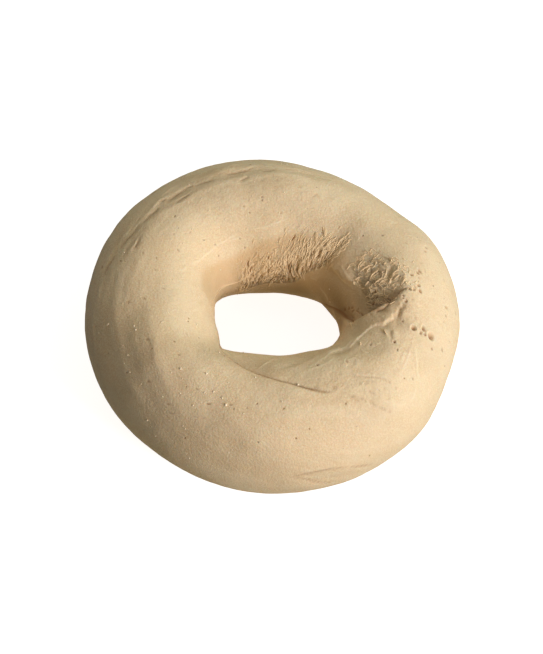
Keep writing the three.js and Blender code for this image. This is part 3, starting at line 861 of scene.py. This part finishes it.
def addPit(skin, ring, section, radius, depth, stretch=1.0, lean=0):
    # a bell-shaped hole with a low raised rim round it
    near, x, y = skin.roundPlace(ring, section, 3.2 * radius * stretch)
    turn = math.radians(lean)
    lengthwise = (y * math.cos(turn) + x * math.sin(turn)) / stretch
    distance = np.hypot(lengthwise, x * math.cos(turn) - y * math.sin(turn)) / radius
    rim = bell((distance - pitRim["at"]) / pitRim["width"])
    skin.height[near] += depth * (pitRim["height"] * rim - bell(distance))
    # painted shade in the pit, and painted highlight on its rim
    skin.mark(near, creviceShade=bell(distance / pitRim["darkWidth"]), pale=pitRim["pale"] * rim)


# The skin's own unevenness: soft lumps and ripples in millimetres, and streaks drawn out along
# the rope, which was rolled with a twist

skinGrain = {
    "lumpSize": 5.0, "lumpHeight": 0.13,
    "rippleSize": 1.6, "rippleHeight": 0.05,
    "streakTwist": 0.55, "streakWander": 7, "streaksRound": 5.0, "streakLength": 26,
    "finerRound": 2.6, "finerAlong": 1.7,  # the finer streaks, against the others
    "streakShare": 0.6, "finerShare": 0.5, "streakHeight": 0.1,
    "patchSize": 14, "patchLeast": 0.35, "patchEdges": (-0.3, 0.5),
    "crestFaded": 0.75, "crestStarts": (70, 105), "crestEnds": (250, 300),
    "joinFades": (22, 70),  # the twist breaks where the rope's ends meet
}


def addGrain(skin):
    # noise in space at two sizes, and noise that is stretched along a helix round the rope, in
    # patches, and weaker on the crest and in the hole
    x, y, z = np.moveaxis(skin.point(), -1, 0)

    def inSpace(size, seed):
        return softNoise(x / size, y / size, z / size, seed=seed)

    skin.height += skinGrain["lumpHeight"] * inSpace(skinGrain["lumpSize"], 31)
    skin.height += skinGrain["rippleHeight"] * inSpace(skinGrain["rippleSize"], 32)
    bent = skin.section + skinGrain["streakTwist"] * skin.ring
    bent = bent + skinGrain["streakWander"] * inSpace(skinGrain["patchSize"], 35)
    turned, byRing = np.radians(bent), skin.ring / skinGrain["streakLength"]
    helixX = skinGrain["streaksRound"] * np.cos(turned)
    helixY = skinGrain["streaksRound"] * np.sin(turned)
    finer = skinGrain["finerRound"]
    coarse = softNoise(helixX, helixY, byRing, seed=33)
    fine = softNoise(finer * helixX, finer * helixY, skinGrain["finerAlong"] * byRing, seed=34)
    least, faded = skinGrain["patchLeast"], skinGrain["crestFaded"]
    patches = smooth(inSpace(skinGrain["patchSize"], 36), *skinGrain["patchEdges"])
    crest = smooth(skin.section, *skinGrain["crestStarts"])
    crest = crest * (1 - smooth(skin.section, *skinGrain["crestEnds"]))
    away = smooth(np.abs(turnBetween(skin.ring, 0)), *skinGrain["joinFades"])
    skin.streak = away * (least + (1 - least) * patches) * (1 - faded * crest)
    skin.streak *= skinGrain["streakShare"] * coarse + skinGrain["finerShare"] * fine
    skin.height += skinGrain["streakHeight"] * skin.streak


def detailSkin(skin):
    # everything finer, on top of the large forms
    addGrain(skin)
    for group in strokes.values():
        for run in group["runs"]:
            addStroke(skin, run, group)
    for web in webs.values():
        addWeb(skin, web)
    for band in scatters.values():
        addScatter(skin, band)
    for pit in pits:
        addPit(skin, *pit)
    for ring, section in pinholes["at"]:
        addPit(skin, ring, section, pinholes["radius"], pinholes["depth"])


def gridMesh(name, points):
    # a closed surface of quads: every point joins the next one on both of the grid's rounds
    rows, columns = points.shape[:2]
    index = np.arange(rows * columns).reshape(rows, columns)
    nextRow = np.roll(index, -1, axis=0)
    quads = [index, nextRow, np.roll(nextRow, -1, axis=1), np.roll(index, -1, axis=1)]
    mesh = bpy.data.meshes.new(name)
    mesh.vertices.add(rows * columns)
    mesh.vertices.foreach_set("co", points.reshape(-1).astype(np.float32))
    mesh.loops.add(4 * rows * columns)
    mesh.loops.foreach_set("vertex_index", np.stack(quads, -1).reshape(-1).astype(np.int32))
    mesh.polygons.add(rows * columns)
    mesh.polygons.foreach_set("loop_start", 4 * np.arange(rows * columns, dtype=np.int32))
    mesh.update(calc_edges=True)
    mesh.shade_smooth()
    return mesh


def listMesh(name, corners, faces):
    # a mesh from plain lists of corners and faces
    mesh = bpy.data.meshes.new(name)
    mesh.from_pydata(corners, [], faces)
    mesh.shade_smooth()
    return mesh


def addObject(name, content):
    # a mesh, lamp or camera, put at the origin
    thing = bpy.data.objects.new(name, content)
    bpy.context.scene.collection.objects.link(thing)
    return thing


skin = shapeSkin()
detailSkin(skin)
points = skin.point() * millimetre
cadMiddle = (np.array(cadLow) + np.array(cadHigh)) / 2
ownMiddle = (points.min((0, 1)) + points.max((0, 1))) / 2
ringShift = np.array([cadMiddle[0] - ownMiddle[0], cadMiddle[1] - ownMiddle[1], 0.0])
points = points + ringShift
bagelSkin = addObject("bagel_skin", gridMesh("bagel_skin", points))
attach(bagelSkin, "root")
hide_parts("bagel")
print("skin shaped:", points.shape, "shift", ringShift)


# Node trees written as sums: a Value is one output of a node, and adding to it or multiplying it
# adds a node

class Value:
    def __init__(self, nodes, socket):
        self.nodes, self.socket = nodes, socket

    def math(self, operation, first, second):
        # one Math node on two values, either of which may be a plain number
        return self.nodes.node("ShaderNodeMath", {"operation": operation}, {0: first, 1: second})

    def __add__(self, other):
        return self.math("ADD", self, other)

    def __radd__(self, other):
        return self.math("ADD", other, self)

    def __sub__(self, other):
        return self.math("SUBTRACT", self, other)

    def __rsub__(self, other):
        return self.math("SUBTRACT", other, self)

    def __mul__(self, other):
        return self.math("MULTIPLY", self, other)

    def __rmul__(self, other):
        return self.math("MULTIPLY", other, self)

    def between(self, low, high):
        # 0 up to low, 1 from high on, and an S curve between them
        settings = {"interpolation_type": "SMOOTHSTEP"}
        inputs = {"Value": self, "From Min": low, "From Max": high}
        return self.nodes.node("ShaderNodeMapRange", settings, inputs)


class Nodes:
    # the nodes of a material or of the room, which end in its shader

    def __init__(self, owner, shader):
        owner.use_nodes = True
        self.owner = owner
        self.tree = owner.node_tree
        self.shader = self.tree.nodes[shader]

    def node(self, kind, settings, inputs, output=0):
        # the settings go first, as they decide which inputs there are; an input is a link or a
        # plain value
        made = self.tree.nodes.new(kind)
        for name, value in settings.items():
            setattr(made, name, value)
        for key, value in inputs.items():
            self.feed(made.inputs[key], value)
        return Value(self, made.outputs[output])

    def feed(self, socket, value):
        if isinstance(value, Value):
            self.tree.links.new(value.socket, socket)
        else:
            socket.default_value = value

    def finish(self, **inputs):
        # sets the shader's own inputs, whose names are written with underscores here
        for name, value in inputs.items():
            self.feed(self.shader.inputs[name.replace("_", " ")], value)
        return self.owner

    def mix(self, share, first, second):
        # first where the share is 0, second where it is 1
        inputs = {0: share, 6: first, 7: second}
        return self.node("ShaderNodeMix", {"data_type": "RGBA"}, inputs, output=2)

    def attribute(self, name):
        # the number that each point of the mesh carries
        return self.node("ShaderNodeAttribute", {"attribute_name": name}, {}, output=2)

    def millimetres(self):
        # object coordinates, scaled so that a texture's sizes are in millimetres
        place = self.node("ShaderNodeTexCoord", {}, {}, output=3)
        scaled = {0: place, 3: 1 / millimetre}
        return self.node("ShaderNodeVectorMath", {"operation": "SCALE"}, scaled)

    def noise(self, place, size, detail=2.0, rough=0.5):
        # 0 to 1, with lumps about one size across and finer ones on them
        inputs = {"Vector": place, "Scale": 1 / size, "Detail": detail, "Roughness": rough}
        return self.node("ShaderNodeTexNoise", {}, inputs)

    def dots(self, place, spacing, radius, kept):
        # 1 inside round spots: the nearest of scattered points is closer than the radius, and a
        # random part of the points is kept
        inputs = {"Vector": place, "Scale": 1 / spacing}
        distance = self.node("ShaderNodeTexVoronoi", {}, inputs)
        chance = self.node("ShaderNodeTexVoronoi", {}, inputs, output=1)
        chance = self.node("ShaderNodeSeparateColor", {}, {0: chance})
        core, edge = 0.6 * radius / spacing, 1.2 * radius / spacing
        inside = 1 - distance.between(core, edge)
        return inside * chance.between(1 - kept, 1.02 - kept)  # nearly a hard step


# The dough: two creams in streaks and clouds; a warm tan on the torn inner wall and on the front,
# partly its own tone and partly painted warm shade; brown pinholes and dark folds of painted shade;
# specks of flour; and pale dry edges that are partly painted highlight. The depth of its glow and
# of its bump are in metres, as the shader takes them

dough = {
    "cream": (0.88, 0.70, 0.44, 1), "deepCream": (0.82, 0.62, 0.365, 1),
    "cloudSize": 12.0, "streakShare": 0.8, "cloudEdges": (0.3, 0.75),
    "mottleSize": 0.4, "mottleRough": 0.7, "mottleShare": 0.7, "mottleEdges": (0.4, 0.65),
    # the first tan is partly the dough's own warmer tone and partly painted warm shade; the second
    # is painted shade
    "tan": (0.75, 0.515, 0.26, 1), "shadeTan": (0.44, 0.31, 0.155, 1),
    "evenTan": 0.6,  # the share of the tan that doesn't come in clouds
    # painted shade for folds, slits, tears and pits, and for the gaps between threads
    "shadeBrown": (0.34, 0.145, 0.042, 1), "shadeShare": 0.9,
    # the pale of mottling and dry skin, and painted highlight on raised lines, rims and walls
    "paleAndHighlight": (0.95, 0.81, 0.55, 1),
    # pinholes, whose brown is painted shade in the pores, and specks of flour: their spacing,
    # radius, and the part of them that is kept
    "pinholes": (3.0, 0.27, 0.28), "specks": (2.2, 0.13, 0.3),
    "pinholeShade": (0.42, 0.235, 0.09, 1), "pinholeShare": 0.7,
    "flour": (0.97, 0.93, 0.82, 1), "flourShare": 0.7,
    "threadWidth": 0.36, "threadLength": 2.2, "threadShade": 0.12, "threadEdges": (0.3, 0.5),
    "roughness": 0.62, "specular": 0.3,
    "glowDepth": 0.0012, "glowShare": 0.3, "glowColours": (1.0, 0.65, 0.4),
    "skinSize": 0.6, "skinRough": 0.6, "skinBump": 0.55, "poreBump": 0.4, "flourBump": 0.3,
    "threadBump": 3.5, "bumpDistance": 0.00035,
}

# where the warm tan of the inner wall and of the front (the near lower flank) lies, partly the
# dough's own tone and partly painted warm shade; and the painted shade deep in the wall
doughPlaces = {
    "wallStarts": {40: 122, 55: 126, 77: 131, 96: 140, 113: 148, 125: 153, 140: 148, 156: 140,
                   170: 142, 190: 165, 300: 160, 340: 146},
    "startBlend": (-3, 6), "wallEnds": (215, 250), "wallShare": 0.85, "tornCooler": 0.25,
    # the wall is warmest round one ring angle, by the cosine of the angle away from it
    "warmestAt": 95, "warmEdges": (-0.2, 0.7), "warmLeast": 0.35,
    # ring angle, section angle, the reaches along and across in degrees, and the share
    "front": (262, 20, 45, 50, 0.3), "paintedShade": (10, 168, 28, 20, 1),
    # patches of painted shade, most in folds and hollows and some on the flanks, in the same order,
    # with the reaches in millimetres
    "shadePatches": [
        (354, 106, 2.4, 4, 0.6), (334, 122, 5, 3, 0.4), (240, 148, 4, 3.5, 0.4),
        (349, 118, 3, 5, 0.7), (350, 100, 2, 1.8, 0.4), (8, 152, 6, 3, 0.4), (348, 138, 3, 3, 0.35),
        (309, 123, 3, 2.5, 0.25), (338, 133, 3, 2, 0.25), (165, 152, 8, 4, 0.25),
        (145, 166, 5, 3, 0.2), (344, 104, 1, 4, 0.65), (19, 139, 3, 2, 0.2),
        (342, 92, 1.5, 2.5, 0.25), (75, 199, 16, 6, 0.85), (30, 188, 7, 5, 0.85),
        (8, 184, 7, 5, 0.6), (5, 103, 2.5, 2.5, 0.35), (347.8, 91, 2.2, 2.2, 0.55),
        (338, 89, 3, 2, 0.2), (236, 36, 12, 7, 0.3), (217, 74, 3, 8, 0.3), (153, 74, 8, 3, 0.2),
        (134, 78, 8, 3, 0.2), (355, 128, 6, 5, 0.7), (341, 111, 3, 2.5, 0.4),
        (178, 92, 14, 7, 0.12), (163, 82, 14, 6, 0.14), (148, 84, 12, 5, 0.12),
        (168, 140, 14, 7, 0.1), (195, 40, 8, 5, 0.1), (249, 112, 8, 3, 0.4), (266, 113, 6, 4, 0.3),
        (308, 118, 2.2, 1.6, 0.55), (316, 119, 4, 2.5, 0.3), (308, 130, 7, 3, 0.3),
        (344, 103, 3, 2, 0.4), (338, 94, 3, 2, 0.3), (232, 51, 8, 4, 0.15), (344, 148, 4, 4, 0.3),
        (305, 52, 7, 6, 0.24), (336, 48, 7, 6, 0.14), (320, 40, 6, 5, 0.1),
    ],
}


def newPaint(name):
    # a new material, ending in the shader that all the finishes use
    return Nodes(bpy.data.materials.new(name), "Principled BSDF")


def plainPaint(name, look, **more):
    # one colour all over
    return newPaint(name).finish(Base_Color=look["colour"], Roughness=look["roughness"],
                                 Specular_IOR_Level=look["specular"], **more)


def paintDough():
    # the colours are laid over each other, each by its own share
    paint = newPaint("dough")
    place = paint.millimetres()
    names = ("creviceShade", "pale", "streak", "warmToneAndShade", "paintedShade", "torn", "thread_across",
             "thread_along")
    creviceShade, pale, streak, warmToneAndShade, paintedShade, torn, across, along = map(paint.attribute, names)
    cloud = paint.noise(place, dough["cloudSize"], detail=3.0)
    mottle = paint.noise(place, dough["mottleSize"], detail=4.0, rough=dough["mottleRough"])
    pinhole, flour = paint.dots(place, *dough["pinholes"]), paint.dots(place, *dough["specks"])
    skinNoise = paint.noise(place, dough["skinSize"], detail=4.0, rough=dough["skinRough"])
    byWidth, byLength = across * (1 / dough["threadWidth"]), along * (1 / dough["threadLength"])
    thread = paint.noise(paint.node("ShaderNodeCombineXYZ", {}, {0: byWidth, 1: byLength}), 1.0)
    even = dough["evenTan"]
    cream = (cloud + dough["streakShare"] * streak).between(*dough["cloudEdges"])
    colour = paint.mix(cream, dough["deepCream"], dough["cream"])
    for share, name in (
        (dough["mottleShare"] * mottle.between(*dough["mottleEdges"]), "paleAndHighlight"),
        # warm tan: partly the dough's own tone, partly painted warm shade
        (warmToneAndShade * (even + (1 - even) * cloud), "tan"),
        # painted shade deep in the hole and in patches
        (paintedShade, "shadeTan"),
        # pale dry skin, and painted highlight on raised lines, rims and walls
        (pale.between(0.0, 1.0), "paleAndHighlight"),
        # painted shade in folds, slits, tears and pits
        (dough["shadeShare"] * creviceShade, "shadeBrown"),
        # pinholes: painted shade in the pores
        (dough["pinholeShare"] * pinhole, "pinholeShade"),
        (dough["flourShare"] * flour, "flour"),
        # painted shade in the gaps between the threads
        (dough["threadShade"] * torn * (1 - thread.between(*dough["threadEdges"])), "shadeBrown"),
    ):
        colour = paint.mix(share, colour, dough[name])
    height = dough["skinBump"] * skinNoise + dough["flourBump"] * flour
    height = height - dough["poreBump"] * pinhole + dough["threadBump"] * torn * thread
    relief = {"Height": height, "Distance": dough["bumpDistance"], "Strength": 1.0}
    return paint.finish(
        Base_Color=colour, Normal=paint.node("ShaderNodeBump", {}, relief),
        Roughness=dough["roughness"], Specular_IOR_Level=dough["specular"],
        Subsurface_Weight=dough["glowShare"], Subsurface_Radius=dough["glowColours"],
        Subsurface_Scale=dough["glowDepth"],
    )


def giveAttributes(mesh, skin):
    # what the features marked, one number at each point; the wall's warm tan, partly its own tone
    # and partly painted warm shade, starts at its own section angle for each ring angle
    def patch(ring, section, reachAlong, reachAcross, share):
        byRing = turnBetween(skin.ring, ring) / reachAlong
        return share * bell(byRing) * bell(turnBetween(skin.section, section) / reachAcross)

    starts = valueAt(doughPlaces["wallStarts"], skin.ring, period=360)
    before, after = doughPlaces["startBlend"]
    wall = smooth(skin.section, starts + before, starts + after)
    wall = wall * (1 - smooth(skin.section, *doughPlaces["wallEnds"]))
    towards = np.cos(np.radians(skin.ring - doughPlaces["warmestAt"]))
    least = doughPlaces["warmLeast"]
    farSide = least + (1 - least) * smooth(towards, *doughPlaces["warmEdges"])
    wall = doughPlaces["wallShare"] * wall * farSide * (1 - doughPlaces["tornCooler"] * skin.torn)
    # painted shade, deep in the hole and in patches on folds, hollows and flanks
    paintedShade = patch(*doughPlaces["paintedShade"])
    for ring, section, reachAlong, reachAcross, share in doughPlaces["shadePatches"]:
        near, x, y = skin.roundPlace(ring, section, 2.5 * max(reachAlong, reachAcross))
        shadePatches = share * bell(np.hypot(x / reachAlong, y / reachAcross))
        paintedShade[near] = np.maximum(paintedShade[near], shadePatches)
    marks = {
        "creviceShade": skin.creviceShade, "pale": skin.pale, "streak": skin.streak,
        "warmToneAndShade": np.maximum(wall, patch(*doughPlaces["front"])), "paintedShade": paintedShade,
        "torn": skin.torn, "thread_across": skin.threadAcross, "thread_along": skin.threadAlong,
    }
    for name, values in marks.items():
        data = mesh.attributes.new(name, "FLOAT", "POINT").data
        data.foreach_set("value", values.reshape(-1).astype(np.float32))


bagelSkin.data.materials.append(paintDough())
giveAttributes(bagelSkin.data, skin)
print("dough painted")


# Threads: thin strands of dried dough that stand up from the skin, each a tapered tube partly
# sunk in it, and all one joined mesh. They follow some of the strokes above, and others lie loose
# in bands

threads = {
    "sides": 6, "step": 0.25, "sunk": 0.35, "tipRadius": 0.02,
    "colour": (0.90, 0.69, 0.41, 1), "roughness": 0.7, "specular": 0.25, "seed": 7,
    # the strokes that they follow, and their radii
    "follow": {"shoulderCurls": 0.15, "shoulderFolds": 0.13, "wallCurls": 0.15, "ledge": 0.15},
    # more of them lie beside the traced ones: how many, and how far away in degrees
    "beside": {"shoulderCurls": 2, "shoulderFolds": 1, "wallCurls": 2, "ledge": 1},
    "apart": (1.6, 1.2),
    "followThickness": (0.8, 1.15), "besideThickness": (0.5, 0.9),  # parts of the radius
    # bands of loose ones: how many, how far they spread from the run, their lengths and radii,
    # and their lean
    "loose": [
        {"run": [(37, 128), (48, 134), (60, 145), (80, 161), (100, 172), (120, 184)], "count": 520,
         "spread": 2.6, "length": (0.9, 3), "radius": (0.08, 0.14), "lean": wallLean, "wander": 14,
         "bow": 0.2},
        {"run": [(352, 112), (362, 110), (374, 113), (384, 117)], "count": 130, "spread": 2.6,
         "length": (0.8, 2.4), "radius": (0.07, 0.11), "lean": {0: 20}, "wander": 30, "bow": 0.5},
        {"run": [(355, 84), (364, 84), (374, 88)], "count": 30, "spread": 1.6, "length": (0.5, 1.4),
         "radius": (0.07, 0.12), "lean": {0: 60}, "wander": 30, "bow": 0.3},
    ],
}


def onSkin(values, ring, section):
    # the grid's values at any angles: weighted by nearness between two rows, and in each row
    # between two columns
    rows, columns = skin.ring[:, 0], skin.section.shape[1]
    after = np.searchsorted(rows, ring % 360) % len(rows)
    share = ((ring - rows[after - 1]) % 360) / ((rows[after] - rows[after - 1]) % 360)
    total = 0.0
    for row, weight in ((after - 1, 1 - share), (after, share)):
        column = (skin.section[row] <= (section % 360)[:, None]).sum(-1) - 1
        following = (column + 1) % columns
        low, high = skin.section[row, column], skin.section[row, following]
        part = ((section - low) % 360) / ((high - low) % 360)
        total = total + (weight * (1 - part))[:, None] * values[row, column]
        total = total + (weight * part)[:, None] * values[row, following]
    return total


def threadRuns(points):
    # each thread's angles at even steps along it, and its radius: first along the strokes, then
    # loose ones whose middle line is a straight piece with a bow in it
    draw = np.random.default_rng(threads["seed"])
    perSection = skin.perSection.mean()
    for name, radius in threads["follow"].items():
        for run in strokes[name]["runs"]:
            rough = onSkin(points, *openRun(run, 20).T)
            length = np.linalg.norm(np.diff(rough, axis=0), axis=-1).sum() / millimetre
            places = openRun(run, max(4, round(length / threads["step"])))
            yield places, radius * draw.uniform(*threads["followThickness"])
            for _ in range(threads["beside"][name]):
                first = draw.integers(0, len(places) // 3 + 1)
                beside = places[first:] + draw.normal(0, 1, 2) * threads["apart"]
                yield beside, radius * draw.uniform(*threads["besideThickness"])
    for band in threads["loose"]:
        places = openRun(band["run"])
        for _ in range(band["count"]):
            ring, section = places[draw.integers(len(places))]
            section = section + draw.normal(0, band["spread"]) / perSection
            turn = leanIn(band, ring, draw)
            length, bow = draw.uniform(*band["length"]), draw.normal(0, band["bow"])
            part = np.linspace(-1, 1, max(4, round(length / threads["step"])) + 1)
            ahead, aside = part * length / 2, bow * (1 - part * part)
            here = np.array([ring]), np.array([section])
            perRing = onSkin(skin.perRing[..., None], *here)[0, 0]
            byRing = (ahead * math.sin(turn) + aside * math.cos(turn)) / perRing
            bySection = (ahead * math.cos(turn) - aside * math.sin(turn)) / perSection
            run = np.stack([ring + byRing, section + bySection], -1)
            yield run, draw.uniform(*band["radius"])


def addThreads(points):
    # a ring of corners round each point of the middle line, in the plane of the skin's normal and
    # the side direction, with the radius swelling and dying away as half an oval does
    alongSkin = np.roll(points, -1, 0) - np.roll(points, 1, 0)
    acrossSkin = np.roll(points, -1, 1) - np.roll(points, 1, 1)
    normals = np.cross(alongSkin, acrossSkin)
    normals = normals / np.linalg.norm(normals, axis=-1, keepdims=True)
    sides = threads["sides"]
    turns = np.arange(sides)[:, None] / sides * 2 * np.pi
    corners, faces, used = [], [], 0
    for run, radius in threadRuns(points):
        middle, normal = onSkin(points, *run.T), onSkin(normals, *run.T)
        side = np.cross(normal, np.gradient(middle, axis=0))
        side = side / np.linalg.norm(side, axis=-1, keepdims=True)
        part = np.linspace(-1, 1, len(run))
        width = (threads["tipRadius"] + radius * np.sqrt(1 - part * part)) * millimetre
        middle = middle + (threads["sunk"] * width)[:, None] * normal
        spoke = np.cos(turns) * normal[:, None] + np.sin(turns) * side[:, None]
        corners.append((middle[:, None] + width[:, None, None] * spoke).reshape(-1, 3))
        index = used + np.arange(len(run) * sides).reshape(len(run), sides)
        onward = np.roll(index, -1, axis=1)
        quads = np.stack([index[:-1], index[1:], onward[1:], onward[:-1]], -1).reshape(-1, 4)
        faces += quads.tolist() + [index[0].tolist(), index[-1][::-1].tolist()]
        used += index.size
    mesh = listMesh("dough_threads", np.concatenate(corners).tolist(), faces)
    mesh.materials.append(plainPaint("dried_dough", threads))
    piece = addObject("dough_threads", mesh)
    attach(piece, "root")


addThreads(points)
print("threads laid on")


# Grains of flour lying on the skin: small lumpy crumbs, one joined mesh

grains = {
    "count": 150, "radius": (0.1, 0.3), "seed": 5,
    "colour": (0.90, 0.77, 0.55, 1), "roughness": 0.8, "specular": 0.2,
    "looseTo": 190,  # the section angle that the loose ones reach
    "fullness": 0.75,  # a crumb's own size, in the radii given here
    "stretch": (0.6, 1.1), "lumpiness": (0.75, 1.25),
    # the larger ones: ring angle, section angle, radius
    "placed": [
        (280.7, 91, 0.5), (253.5, 66, 0.62), (262, 97, 0.4), (273.5, 75, 0.36), (240.7, 85.4, 0.5),
        (238, 114, 0.32), (193.8, 48.5, 0.4), (194.3, 34.7, 0.34), (210.5, 53.2, 0.34),
        (215.3, 46.7, 0.4), (209.7, 123.9, 0.42), (214.1, 133.3, 0.34), (206.3, 92, 0.3),
        (230.7, 78, 0.5), (234.4, 72.8, 0.28), (236, 61.8, 0.32), (231.4, 51.4, 0.28),
        (226.4, 42.2, 0.26), (242.1, 56.7, 0.36), (244.4, 70.3, 0.4), (250.8, 70.9, 0.42),
        (228.8, 23.7, 0.4), (232.5, 12.6, 0.26), (244.6, 7.6, 0.34), (257.3, 28.5, 0.36),
        (260, 63.1, 0.36), (243.2, 100.5, 0.28), (201.5, 69.6, 0.42), (203.4, 70, 0.5),
        (246.9, 73.7, 0.46), (164.5, 68, 0.34), (87, 62, 0.34), (157, 55.5, 0.32), (124, 74, 0.38),
        (122.7, 161, 0.34), (138, 158.5, 0.34), (120, 121, 0.3), (101, 107, 0.3), (149, 100, 0.3),
        (125.1, 108.8, 0.3), (139.3, 113.6, 0.28), (124.4, 95.7, 0.28), (165.6, 67.7, 0.3),
        (193.6, 47.4, 0.28), (205.6, 92.5, 0.3), (147.3, 56, 0.3), (118.2, 159.5, 0.28),
    ],
}


def icosahedron():
    # twelve corners at golden-ratio rectangles, and its twenty faces as the triples of nearest
    # corners, turned to face outwards
    golden = (1 + math.sqrt(5)) / 2
    corners = [(a, b * golden, 0) for a in (-1, 1) for b in (-1, 1)]
    corners = np.array([np.roll(corner, turn) for turn in range(3) for corner in corners])
    corners = corners / math.hypot(1, golden)
    apart = np.linalg.norm(corners[:, None] - corners[None], axis=-1)
    near = (apart > 0) & (apart < 1.2)
    faces = [(i, j, k) for i in range(12) for j in range(i + 1, 12) for k in range(j + 1, 12)
             if near[i, j] and near[j, k] and near[i, k]]
    faces = [f if np.linalg.det(corners[list(f)]) > 0 else f[::-1] for f in faces]
    return corners, np.array(faces)


def addGrains(points):
    # each grain is the twenty-faced crumb, stretched, turned and set half into the skin's nearest
    # point
    draw = np.random.default_rng(grains["seed"])
    corners, faces = icosahedron()
    loose = [(draw.uniform(0, 360), draw.uniform(0, grains["looseTo"]),
              draw.uniform(*grains["radius"])) for _ in range(grains["count"])]
    places, triangles = [], []
    for ring, section, radius in grains["placed"] + loose:
        miss = np.hypot(turnBetween(skin.ring, ring), turnBetween(skin.section, section))
        row, column = np.unravel_index(np.argmin(miss), miss.shape)
        shape = corners * draw.uniform(*grains["stretch"], 3)
        shape = shape * draw.uniform(*grains["lumpiness"], (12, 1))
        turned, _ = np.linalg.qr(draw.normal(size=(3, 3)))
        turned = turned * np.sign(np.linalg.det(turned))
        triangles.append(faces + 12 * len(places))
        size = grains["fullness"] * radius * millimetre
        places.append(points[row, column] + size * shape @ turned)
    mesh = listMesh("flour_grains", np.concatenate(places).tolist(),
                    np.concatenate(triangles).tolist())
    mesh.materials.append(plainPaint("flour", grains))
    piece = addObject("flour_grains", mesh)
    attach(piece, "root")


addGrains(points)
print("flour grains laid on")


# The studio: a pale floor, one broad lamp low at the near right, and a room that is bright on the
# right, dark on the left, and warm and dim from below

floorLook = {
    "size": 4.0, "colour": (0.62, 0.615, 0.61, 1), "roughness": 0.9, "specular": 0.0, "glow": 1.4,
}
studio = {
    "lampAzimuth": -42, "lampElevation": 24, "lampDistance": 1.6, "lampWidth": 0.53,
    "lampPower": 17.7, "lampColour": (0.935, 0.88, 0.975),
    # the room's brightest side, and how its colour changes away from that side and with height;
    # the limits are parts of a unit direction
    "brightAzimuth": 15, "brightSide": (1.0, 1.05, 0.94, 1),
    "halfway": (0.50, 0.45, 0.25, 1), "darkSide": (0.02, 0.03, 0.06, 1),
    "darkToHalfway": (-0.7, -0.2), "halfwayToBright": (-0.2, 0.8),
    "overhead": (0.35, 0.31, 0.29, 1), "sidesToOverhead": (0.55, 0.85),
    "underneath": (0.6, 0.46, 0.27, 1), "belowTable": (0.09, 0.1, 0.11, 1),
    "underneathToTable": (-0.85, -0.55), "tableToSides": (-0.08, 0.08),
}


def addFloor():
    # a plain square that glows a little, so that it stays pale
    half = floorLook["size"] / 2
    corners = [(-half, -half, 0), (half, -half, 0), (half, half, 0), (-half, half, 0)]
    floor = addObject("floor", listMesh("floor", corners, [(0, 1, 2, 3)]))
    floor.data.materials.append(plainPaint(
        "floor_paint", floorLook, Emission_Color=floorLook["colour"],
        Emission_Strength=floorLook["glow"],
    ))
    floor.visible_diffuse = floor.visible_glossy = False  # the room lights the dough from below


def directionOf(azimuth, elevation):
    # a unit vector from the ring towards a place: azimuth from +X, elevation above the table
    a, e = math.radians(azimuth), math.radians(elevation)
    return Vector((math.cos(e) * math.cos(a), math.cos(e) * math.sin(a), math.sin(e)))


def placeFacing(thing, middle, towards, distance):
    # at a distance from a middle in one direction, and facing back to it
    thing.location = middle + towards * distance
    thing.rotation_mode = "QUATERNION"
    thing.rotation_quaternion = towards.to_track_quat("Z", "Y")


def addLamp():
    # a round lamp that faces the ring's middle
    light = bpy.data.lights.new("lamp", "AREA")
    light.shape, light.size = "DISK", studio["lampWidth"]
    light.energy, light.color = studio["lampPower"], studio["lampColour"]
    towards = directionOf(studio["lampAzimuth"], studio["lampElevation"])
    placeFacing(addObject("lamp", light), Vector((0, 0, 0)), towards, studio["lampDistance"])


def addRoom():
    # the sides' colour goes by how far a direction points to the bright side, and that by its
    # height to the other colours
    nodes = Nodes(bpy.data.worlds.new("pale_room"), "Background")
    place = nodes.node("ShaderNodeTexCoord", {}, {})
    height = nodes.node("ShaderNodeSeparateXYZ", {}, {0: place}, output=2)
    dot = {0: place, 1: directionOf(studio["brightAzimuth"], 0)}
    side = nodes.node("ShaderNodeVectorMath", {"operation": "DOT_PRODUCT"}, dot, output=1)

    def blend(value, limits, first, second):
        return nodes.mix(value.between(*studio[limits]), first, second)

    sides = blend(side, "darkToHalfway", studio["darkSide"], studio["halfway"])
    sides = blend(side, "halfwayToBright", sides, studio["brightSide"])
    above = blend(height, "sidesToOverhead", sides, studio["overhead"])
    below = blend(height, "underneathToTable", studio["underneath"], studio["belowTable"])
    colour = blend(height, "tableToSides", below, above)
    bpy.context.scene.world = nodes.finish(Color=colour, Strength=1.0)


# The camera, at the photo's angle: it looks along +Y and down on the ring

photo = {
    "elevation": 52, "distance": 0.420, "aimHeight": 0.014, "aimPixel": (272.7, 323.0),
    "pixelsPerMillimetre": 3.75, "width": 543, "height": 654, "sensorWidth": 36.0,
}


def addCamera():
    # the lens gives the photo's scale at the aimed place, and the shift puts that place on its
    # pixel
    camera = bpy.data.cameras.new("photo_camera")
    holder = addObject("photo_camera", camera)
    elevation = math.radians(photo["elevation"])
    back = Vector((0, -math.cos(elevation), math.sin(elevation)))
    aim = Vector(ringShift) + Vector((0, 0, photo["aimHeight"]))
    placeFacing(holder, aim, back, photo["distance"])
    focalPixels = photo["pixelsPerMillimetre"] * photo["distance"] / millimetre
    camera.sensor_width = photo["sensorWidth"]
    camera.lens = photo["sensorWidth"] * focalPixels / photo["height"]
    camera.shift_x = (photo["width"] / 2 - photo["aimPixel"][0]) / photo["height"]
    camera.shift_y = (photo["aimPixel"][1] - photo["height"] / 2) / photo["height"]
    camera.clip_start, camera.clip_end = 0.01, 20.0
    bpy.context.scene.camera = holder


addFloor()
addLamp()
addRoom()
addCamera()
bpy.context.scene.view_settings.view_transform = "Standard"
print("studio and camera set")
